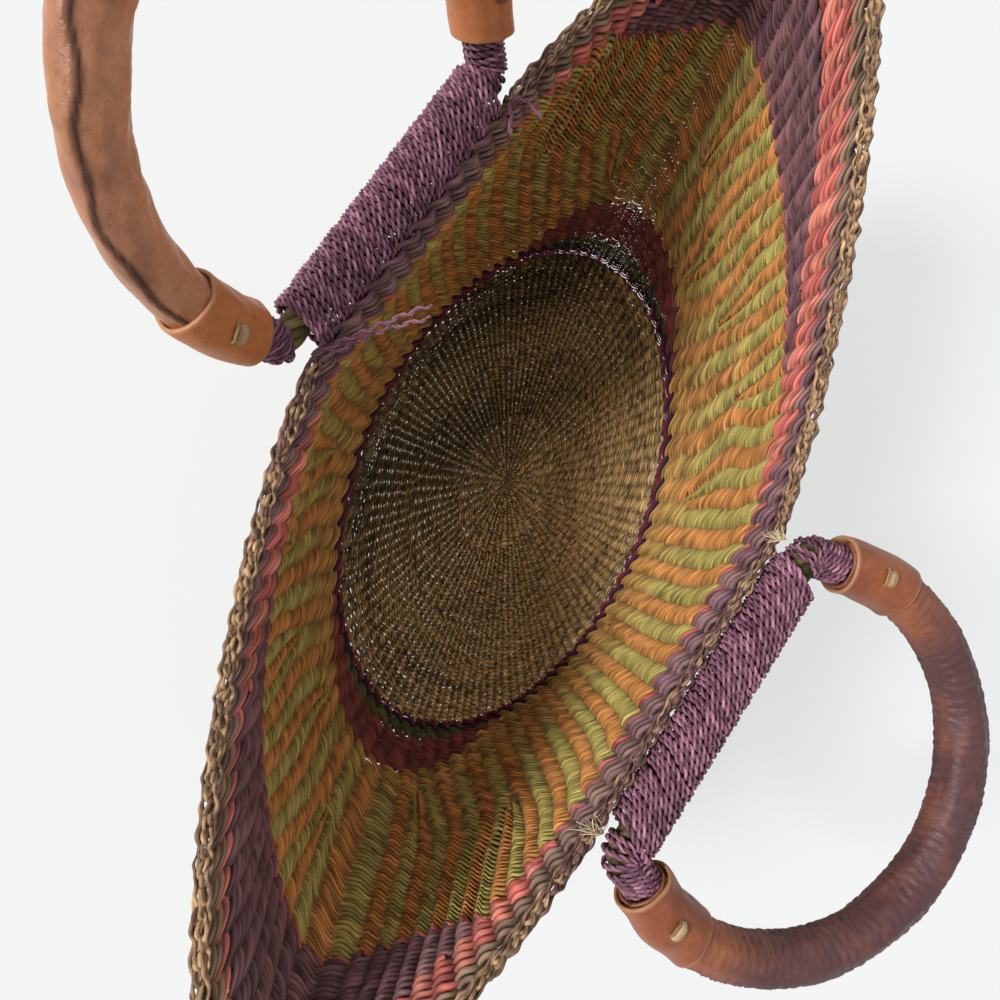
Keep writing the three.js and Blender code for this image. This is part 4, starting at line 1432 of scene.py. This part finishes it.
class BASKET_OT_floor(Operator):
    """Adds the floor: ribs that split on their way out, twined in a spiral"""

    bl_idname = "basket.floor"
    bl_label = "Floor"

    def execute(self, context):
        weaver = twining()
        form, ribs, strand = weaver.form, weaver.ribs, settings("strand")
        colours = settings("straw")
        feet = ribs.feet_total
        material = straw_material("floor straw", colours.floor_dark, colours.floor_lit_gold, 0.5, 0.75, 0.35)
        row_share = 1 / strand.floor_rows
        for part, (first_row, last_row, number) in enumerate(FLOOR_STAGES):
            skin = Skin()
            phase = np.arange((last_row - first_row) * number * weaver.stations) / weaver.stations
            out = np.maximum(row_share * (first_row + phase / number), FLOOR_START)
            around = ribs.at_foot(((phase + 0.5) * feet / number) % feet)
            point = form.point(around, out)
            further = np.clip(out + row_share / 2, None, 1)
            nearer = np.clip(out - row_share / 2, 0, None)
            span = np.linalg.norm(form.point(around, further) - form.point(around, nearer), axis=-1)
            pitch = span * row_share / (further - nearer)
            open_part = smooth_step(-0.03, 0.08, point @ OPEN_SIDE + 0.015 * waves(6, point[:, 0] / 0.05))
            # Painted shadow: the floor fades from its lit gold to its shaded colour towards the shadowed
            # side, and the waves add random tone
            light = mix(0.85, 0.05, smooth_step(-0.06, 0.1, point @ SHADOWED_SIDE))
            light = light + 0.12 * waves(5, point[:, 0] / 0.12, point[:, 1] / 0.12, octaves=3)
            style = fine_style(strand, (light, light * 0.9), slant=strand.floor_slant)
            style["fullness"] = mix(0.45, 0.405, open_part)
            style["depth"] = 1.0 * MILLIMETRE
            # Strands stand out further on the inside of the basket
            style["inward"] = 1.35
            weaver.strands(skin, phase, around, out, pitch, style, False)
            piece = skin.build(f"floor_twining_{part + 1}")
            place(piece, material, BASKET_BODY, "floor_straw", "floor_weave")
        skin = Skin()
        points = 12
        radius = np.full(points, strand.rib_radius * 0.8)
        for first_row, last_row, number in FLOOR_STAGES:
            for rib in range(number):
                out = np.linspace(max(first_row, 1), last_row, points) * row_share
                around = np.full(points, ribs.at_foot((rib + 0.5) * feet / number))
                point, outward, upward = form.frame_at(around, out)
                skin.add(rings_along(point, upward, outward, radius, radius, 5), tone=0.1)
        place(skin.build("floor_ribs"), material, BASKET_BODY, "floor_straw", "floor_weave")
        return {"FINISHED"}


class BASKET_OT_foot_rows(Operator):
    """Adds the magenta and navy rows round the floor"""

    bl_idname = "basket.foot_rows"
    bl_label = "Foot rows"

    def execute(self, context):
        sizes = settings("sizes")
        colours = settings("straw")
        weave_narrow_rows(
            "magenta_twining", 0, sizes.magenta_width, colours.magenta, "magenta_straw", "magenta_row"
        )
        weave_narrow_rows(
            "navy_twining", sizes.magenta_width, sizes.navy_width, colours.navy, "navy_straw", "navy_row"
        )
        return {"FINISHED"}


class BASKET_OT_low_crescents(Operator):
    """Adds the green and maroon crescents at the foot of each tip"""

    bl_idname = "basket.low_crescents"
    bl_label = "Green and maroon crescents"

    def execute(self, context):
        form = basket_form()
        bands = Bands(form)
        strand = settings("strand")
        colours = settings("straw")
        style = fine_style(strand, (0.1, 0.6))
        rows = [
            ("green", bands.green, lambda around: bands.rows_width, colours.green),
            ("maroon", bands.maroon, lambda around: bands.rows_width + bands.green(around), colours.maroon),
        ]
        for name, width_at, start_at, shade in rows:

            def edge_at(around, depth, start_at=start_at):
                return form.from_foot(around, start_at(around) + depth)

            material = straw_material(f"{name} straw", shade, dimmed(shade, 0.6))
            weave_crescents(name, width_at, edge_at, strand.fine_pitch, style, material)
        return {"FINISHED"}


# Heights up the weave between which the stripes' two colours become distinct
STRIPES_CLEARER = (1.04, 1.35)


class BASKET_OT_striped_wall(Operator):
    """Adds the striped band of green and ochre columns with its thin red edge"""

    bl_idname = "basket.striped_wall"
    bl_label = "Striped wall"

    def execute(self, context):
        weaver = twining()
        form = weaver.form
        bands = Bands(form)
        strand = settings("strand")
        colours = settings("straw")
        rows = strand.striped_rows
        pieces = 4
        material = straw_material("striped straw", colours.stripe_green, colours.stripe_ochre)

        def green_fade(around, out):
            return mix(0.6, 0.0, smooth_step(*STRIPES_CLEARER, out))

        def ochre_fade(around, out):
            return mix(0.75, 1.0, smooth_step(*STRIPES_CLEARER, out))

        style = fine_style(strand, (green_fade, ochre_fade))
        for piece in range(pieces):
            skin = Skin()
            for row in range(piece * rows // pieces, (piece + 1) * rows // pieces):
                self.add_row(weaver, bands, skin, row, rows, style)
            part = skin.build(f"striped_twining_{piece + 1}")
            place(part, material, BASKET_BODY, "striped_straw", "striped_wall")
        skin = Skin()
        edge = fine_style(strand, (0.0, 0.3), slant=strand.thick_slant)
        edge["swing"] = strand.swing * 1.4
        self.add_row(weaver, bands, skin, rows - 0.2, rows, edge)
        red = straw_material("red edge straw", colours.salmon, colours.magenta)
        place(skin.build("red_edge_row"), red, BASKET_BODY, "salmon_straw", "striped_wall")
        return {"FINISHED"}

    @staticmethod
    def add_row(weaver, bands, skin, row, rows, style):
        part = (row + 0.5) / rows
        out_at = lambda around: mix(bands.striped_low(around), bands.striped_high(around), part)

        def pitch_at(around):
            high = bands.striped_high(around)
            return (high - bands.striped_low(around)) * weaver.form.wall_length(around) / rows

        weaver.full_row(skin, out_at, pitch_at, style)


class BASKET_OT_high_crescents(Operator):
    """Adds the plum and salmon crescents below the rim of each tip"""

    bl_idname = "basket.high_crescents"
    bl_label = "Plum and salmon crescents"

    def execute(self, context):
        form = basket_form()
        bands = Bands(form)
        strand = settings("strand")
        colours = settings("straw")
        shades = {
            "plum": (colours.plum, colours.plum_light),
            "salmon": (colours.salmon, colours.salmon_light),
        }
        rows = [
            ("plum", bands.plum, lambda around: bands.top(around) + bands.salmon(around)),
            ("salmon", bands.salmon, bands.top),
        ]
        for name, width_at, start_at in rows:

            def edge_at(around, depth, start_at=start_at):
                return form.from_top(around, start_at(around) + depth)

            material = straw_material(f"{name} straw", *shades[name])
            style = thick_style(strand, (0.15, 0.55))
            weave_crescents(name, width_at, edge_at, strand.thick_pitch, style, material)
        return {"FINISHED"}


class BASKET_OT_top_rows(Operator):
    """Adds the thick rows under the plait, which take its place beside the left bar"""

    bl_idname = "basket.top_rows"
    bl_label = "Top rows"

    def execute(self, context):
        weaver = twining()
        form = weaver.form
        strand = settings("strand")
        colours = settings("straw")
        skin = Skin()
        rows = 4
        pitch = form.sizes.top_width / rows

        def toward_tip(around, out):
            past = np.abs(from_nearest(around, form.tip_share))
            return 0.1 + 0.8 * smooth_step(0.2, 0.05, past)

        bands = Bands(form)
        beside_left_bar = lambda around: np.abs(around % 1 - 0.5) < form.bar_end_share
        style = thick_style(strand, (toward_tip, lambda around, out: 0.2 + 0.8 * toward_tip(around, out)))
        style["swing"] = strand.swing * 1.3
        rows_past_rim = 2
        for row in range(-rows_past_rim, rows):
            depth = (row + 0.5) * pitch
            out_at = lambda around, depth=depth: form.from_top(around, depth)
            if row < 0:
                weaver.part_rows([skin], out_at, beside_left_bar, 0, pitch, style)
            elif row < rows / 2:
                weaver.full_row(skin, out_at, lambda around: np.full_like(around, pitch), style)
            else:
                weaver.part_rows([skin], out_at, bands.top, depth, pitch, style)
        material = straw_material("top row straw", colours.top_mauve, colours.top_tan)
        place(skin.build("top_twining"), material, BASKET_BODY, "top_row_straw", "top_rows")
        return {"FINISHED"}


class BASKET_OT_wall_ribs(Operator):
    """Adds the ribs inside the wall"""

    bl_idname = "basket.wall_ribs"
    bl_label = "Wall ribs"

    def execute(self, context):
        weaver = twining()
        form, ribs, strand = weaver.form, weaver.ribs, settings("strand")
        colours = settings("straw")
        skin = Skin()
        steps = 30
        rises = np.linspace(0.0, 1.0, steps)
        around = np.stack([ribs.places(np.full(ribs.total, rise))[0] for rise in rises])
        weights = np.stack([ribs.weights(np.full(ribs.total, rise)) for rise in rises])
        for rib in range(ribs.total):
            kept = weights[:, rib] > ribs.least_weight
            point, outward, upward = form.frame_at(around[kept, rib], 1 + rises[kept])
            radius = strand.rib_radius * np.sqrt(weights[kept, rib])
            along = np.cross(upward, outward)
            skin.add(rings_along(point, outward, along, radius, radius, 5), tone=0.1)
        material = straw_material("rib straw", colours.plait_brown, colours.plait_tan)
        place(skin.build("wall_ribs"), material, BASKET_BODY, "floor_straw", "striped_wall")
        return {"FINISHED"}


class BASKET_OT_rim_plait(Operator):
    """Adds the plaited rim: a chain of links between two rails, each of two twisted straws"""

    bl_idname = "basket.rim_plait"
    bl_label = "Rim plait"

    def execute(self, context):
        form = basket_form()
        sizes = form.sizes
        colours = settings("straw")
        skin = Skin()
        stations = 1400
        # The plait starts and ends a little way inside the left bar's ends
        tucked_share = 0.002
        end = form.bar_end_share - tucked_share
        around = np.linspace(0.5 + end, 1.5 - end, stations)
        _, outward, _ = form.frame_at(around, np.full(stations, 2.0))
        outward = unit(outward * [1, 1, 0])
        upward = np.broadcast_to([0.0, 0.0, 1.0], outward.shape)
        past_bar = np.abs(from_nearest(around, 0)) - end
        beside_bar = 1 - smooth_step(0.0, 0.008, past_bar)
        near_bar = 1 - smooth_step(0.0, 0.05, past_bar)
        size_share = mix(1.0, 0.8, beside_bar)
        sway = (0.5 + 1.0 * beside_bar) * MILLIMETRE
        centre = form.rim(around) + upward * (sizes.plait_gap + sizes.plait_height / 2)
        links = round(form.rim_length / settings("strand").link_length)
        along = around * links * FULL_TURN
        straw_radius = 0.9 * MILLIMETRE
        rail = sizes.plait_width / 2 - 1.9 * straw_radius
        high = sizes.plait_height / 2 - 2 * straw_radius
        # Sideways and upward sway of each route, and its fade
        inner_sway, rail_lift, link_sway = 0.5 * MILLIMETRE, 0.8 * MILLIMETRE, 0.7 * MILLIMETRE
        routes = [
            (-rail - inner_sway * np.cos(along), rail_lift * np.sin(along), 0.35),
            (rail + sway * np.cos(along), -rail_lift * np.sin(along), 0.6),
            (link_sway * np.sin(along / 2), high * np.cos(along), 0.05),
            (-link_sway * np.sin(along / 2), -high * np.cos(along), 0.5),
        ]
        draw = np.random.default_rng(21)
        for aside, lift, shade in routes:
            for straw in range(2):
                twist = along / 3 + straw * math.pi
                wander = 0.3 * MILLIMETRE * waves(new_seed(draw), around * links, octaves=4)
                out_by = size_share * (aside + straw_radius * np.cos(twist)) + wander
                up_by = size_share * (lift + straw_radius * np.sin(twist))
                line = centre + outward * out_by[:, None] + upward * up_by[:, None]
                uneven = 1 + 0.2 * waves(new_seed(draw), around * links, octaves=4)
                shift = 0.3 * waves(new_seed(draw), around * links / 4) + 0.5 * near_bar
                fade = np.clip(shade + shift, 0, 1)
                tone = 0.5 + 0.4 * waves(new_seed(draw), around * links)
                radius = straw_radius * uneven * mix(1.0, 0.85, beside_bar)
                rings = rings_along(line, upward, outward, radius, radius, 6)
                skin.add(rings, fade=fade, tone=np.clip(tone, 0, 1))
        material = straw_material("plait straw", colours.plait_tan, colours.plait_brown)
        place(skin.build("rim_plait_strands"), material, BASKET_BODY, "plait_straw", "rim_plait")
        return {"FINISHED"}


class BASKET_OT_lashings(Operator):
    """Adds the cord that lashes each bar to the rim"""

    bl_idname = "basket.lashings"
    bl_label = "Lashings"

    def execute(self, context):
        colours = settings("straw")
        material = straw_material("lashing cord", colours.cord_mauve, colours.cord_pink, 0.5, streak=0.25)
        for side in SIDES:
            cord = make_lashing(side).build(f"{side}_lashing_cord")
            place(cord, material, BASKET_BODY, "lashing_cord", f"{side}_bar_lashing")
        return {"FINISHED"}


# Patches, mottle, grain and pores of the leather, in a metre
PATCH_SCALE = 38
MOTTLE_SCALE = 210
GRAIN_SCALE = 1500
PORE_SCALE = 900
# Depth and strength of each as relief
MOTTLE_RELIEF = (0.5 * MILLIMETRE, 0.6)
GRAIN_RELIEF = (0.12 * MILLIMETRE, 0.5)
PORE_RELIEF = (0.22 * MILLIMETRE, 0.35)


def leather_material(name, shade, dark, edge, roughness):
    """Worn leather with darker patches, fine grain, and a second colour along its cut edges."""
    shading = Shading(name, roughness, specular=0.45)
    place_in_space = shading.nodes.new("ShaderNodeTexCoord").outputs["Object"]
    patches = shading.noise(place_in_space, PATCH_SCALE, detail=5, roughness=0.6)
    mottle = shading.noise(place_in_space, MOTTLE_SCALE, detail=4, roughness=0.65)
    grain = shading.noise(place_in_space, GRAIN_SCALE, detail=3)
    pores = shading.nodes.new("ShaderNodeTexVoronoi")
    shading.link(place_in_space, pores.inputs["Vector"])
    pores.inputs["Scale"].default_value = PORE_SCALE
    # Random worn patches, added to the tone attribute, which on the left cover also carries painted shade
    wear_and_shade = shading.varied(patches, -0.2, 0.2, reach=0.15)
    darkness = shading.sum_up("ADD", shading.attribute("tone"), wear_and_shade)
    surface = shading.blend(darkness, shade, dark)
    surface = shading.brighter(surface, shading.varied(mottle, 0.85, 1.15))
    surface = shading.blend(shading.attribute("fade"), surface, edge)
    shine = shading.varied(mottle, roughness - 0.1, roughness + 0.14)
    shading.link(shine, shading.surface.inputs["Roughness"])
    normal = shading.bump(pores.outputs["Distance"], *PORE_RELIEF)
    normal = shading.bump(grain, *GRAIN_RELIEF, normal)
    return shading.finish(surface, shading.bump(mottle, *MOTTLE_RELIEF, normal))


class BASKET_OT_handles(Operator):
    """Adds both ring handles: rope core, leather cover, collars and knots"""

    bl_idname = "basket.handles"
    bl_label = "Handles"

    def execute(self, context):
        leather = settings("leather")
        straw = settings("straw")
        covers = {
            "left": (leather.left_tube, leather.left_dark, 0.38),
            "right": (leather.right_tube, leather.right_dark, 0.5),
        }
        collar_shades = (leather.collar, leather.collar_dark, leather.cut_edge)
        collar = leather_material("collar leather", *collar_shades, 0.42)
        rope = straw_material("rope straw", straw.rope_tan, straw.rope_green)
        knot_straw = straw_material("knot straw", leather.stitch, straw.pale)
        cord = straw_material("elbow cord", straw.cord_mauve, straw.cord_pink, 0.5, streak=0.25)
        for side in SIDES:
            body = f"{side}_handle"
            shade, dark, roughness = covers[side]
            cover = leather_material(f"{side} cover leather", shade, dark, dimmed(dark, 0.3), roughness)
            strands = make_core(side).build(f"{side}_rope")
            place(strands, rope, body, "core_rope", f"{side}_handle_core")
            tube = make_cover(side).build(f"{side}_cover")
            place(tube, cover, body, "cover_leather", f"{side}_leather_cover")
            for end in SIDES:
                band = make_collar(side, end).build(f"{side}_collar_{end}")
                place(band, collar, body, "collar_leather", f"{side}_handle_collar_{end}")
                knot = make_knot(side, end).build(f"{side}_knot_{end}")
                place(knot, knot_straw, body, "pale_straw", f"{side}_handle_knot_{end}")
                elbow = make_elbow(side, end).build(f"{side}_elbow_{end}")
                place(elbow, cord, body, "lashing_cord", f"{side}_handle_core")
        return {"FINISHED"}


class BASKET_OT_tufts(Operator):
    """Adds the frayed straw at the ends of the right bar"""

    bl_idname = "basket.tufts"
    bl_label = "Frayed straw"

    def execute(self, context):
        straw = settings("straw")
        material = straw_material("frayed straw", straw.pale, straw.pale_tip)
        for node, sign, seed in (("frayed_straw_inner", 1, 31), ("frayed_straw_outer", -1, 32)):
            place(make_tuft(sign, seed).build(f"{node}_tuft"), material, BASKET_BODY, "pale_straw", node)
        return {"FINISHED"}


GROUND_SIZE = 8
GROUND_HEIGHT = -0.4 * MILLIMETRE
# Strength of the sky, and how much more of it and of the ground's own glow the camera sees
SKY_STRENGTH = 0.44
SKY_SEEN = 0.46
GLOW_SEEN = 0.66
SKY_COLOUR = (0.96, 0.98, 1.0, 1)
GROUND_COLOUR = (0.78, 0.79, 0.78, 1)
GLOW_COLOUR = (0.93, 0.95, 0.94, 1)
# Direction that each lamp stands in, its strength and its softness
LAMPS = {"key": ((-0.56, 0.82, 1.0), 2.7, 0.3), "fill": ((0.6, -0.5, 1.2), 0.25, 0.9)}


class BASKET_OT_stage(Operator):
    """Adds the pale floor and the soft light"""

    bl_idname = "basket.stage"
    bl_label = "Stage"

    def execute(self, context):
        scene = context.scene
        scene.view_settings.view_transform = "Standard"
        bpy.ops.mesh.primitive_plane_add(size=GROUND_SIZE, location=(0, 0, GROUND_HEIGHT))
        ground = context.active_object
        ground.name = "pale_ground"
        ground.data.materials.append(self.ground_material())
        world = bpy.data.worlds.new("soft light")
        scene.world = world
        world.use_nodes = True
        background = world.node_tree.nodes["Background"]
        background.inputs["Color"].default_value = SKY_COLOUR
        path = world.node_tree.nodes.new("ShaderNodeLightPath")
        strength = world.node_tree.nodes.new("ShaderNodeMath")
        strength.operation = "MULTIPLY_ADD"
        strength.inputs[1].default_value = SKY_SEEN
        strength.inputs[2].default_value = SKY_STRENGTH
        world.node_tree.links.new(path.outputs["Is Camera Ray"], strength.inputs[0])
        world.node_tree.links.new(strength.outputs[0], background.inputs["Strength"])
        for name, lamp in LAMPS.items():
            self.add_lamp(name, *lamp)
        return {"FINISHED"}

    @staticmethod
    def ground_material():
        material = bpy.data.materials.new("pale ground")
        material.use_nodes = True
        nodes = material.node_tree.nodes
        links = material.node_tree.links
        surface = nodes["Principled BSDF"]
        surface.inputs["Base Color"].default_value = GROUND_COLOUR
        surface.inputs["Roughness"].default_value = 0.9
        glow = nodes.new("ShaderNodeEmission")
        glow.inputs["Color"].default_value = GLOW_COLOUR
        path = nodes.new("ShaderNodeLightPath")
        part = nodes.new("ShaderNodeMath")
        part.operation = "MULTIPLY"
        part.inputs[1].default_value = GLOW_SEEN
        blend = nodes.new("ShaderNodeMixShader")
        links.new(path.outputs["Is Camera Ray"], part.inputs[0])
        links.new(part.outputs[0], blend.inputs[0])
        links.new(surface.outputs[0], blend.inputs[1])
        links.new(glow.outputs[0], blend.inputs[2])
        links.new(blend.outputs[0], nodes["Material Output"].inputs["Surface"])
        return material

    @staticmethod
    def add_lamp(name, source, strength, softness):
        lamp = bpy.data.lights.new(name, "SUN")
        lamp.energy = strength
        lamp.angle = softness
        holder = bpy.data.objects.new(name, lamp)
        holder.rotation_euler = Vector(source).to_track_quat("Z", "Y").to_euler()
        bpy.context.scene.collection.objects.link(holder)


STEPS = (
    BASKET_OT_camera,
    BASKET_OT_loose_ends,
    BASKET_OT_floor,
    BASKET_OT_foot_rows,
    BASKET_OT_low_crescents,
    BASKET_OT_striped_wall,
    BASKET_OT_high_crescents,
    BASKET_OT_top_rows,
    BASKET_OT_wall_ribs,
    BASKET_OT_rim_plait,
    BASKET_OT_lashings,
    BASKET_OT_handles,
    BASKET_OT_tufts,
    BASKET_OT_stage,
)


class BASKET_PT_panel(Panel):
    """Lists the basket's pieces in the 3D view's sidebar"""

    bl_idname = "BASKET_PT_panel"
    bl_label = "Bolga market basket"
    bl_space_type = "VIEW_3D"
    bl_region_type = "UI"
    bl_category = "Basket"

    def draw(self, context):
        for step in STEPS:
            self.layout.operator(step.bl_idname)


GROUPS = {
    "sizes": BasketSizes,
    "strand": StrandSizes,
    "handle": HandleSizes,
    "straw": StrawColours,
    "leather": LeatherColours,
}


def register():
    for group in GROUPS.values():
        bpy.utils.register_class(group)
    for name, group in GROUPS.items():
        setattr(bpy.types.Scene, f"basket_{name}", PointerProperty(type=group))
    for step in STEPS:
        bpy.utils.register_class(step)
    bpy.utils.register_class(BASKET_PT_panel)


def unregister():
    bpy.utils.unregister_class(BASKET_PT_panel)
    for step in reversed(STEPS):
        bpy.utils.unregister_class(step)
    for name, group in GROUPS.items():
        delattr(bpy.types.Scene, f"basket_{name}")
        bpy.utils.unregister_class(group)


def main():
    register()
    for step in STEPS:
        family, name = step.bl_idname.split(".")
        getattr(getattr(bpy.ops, family), name)()


if __name__ == "__main__":
    main()
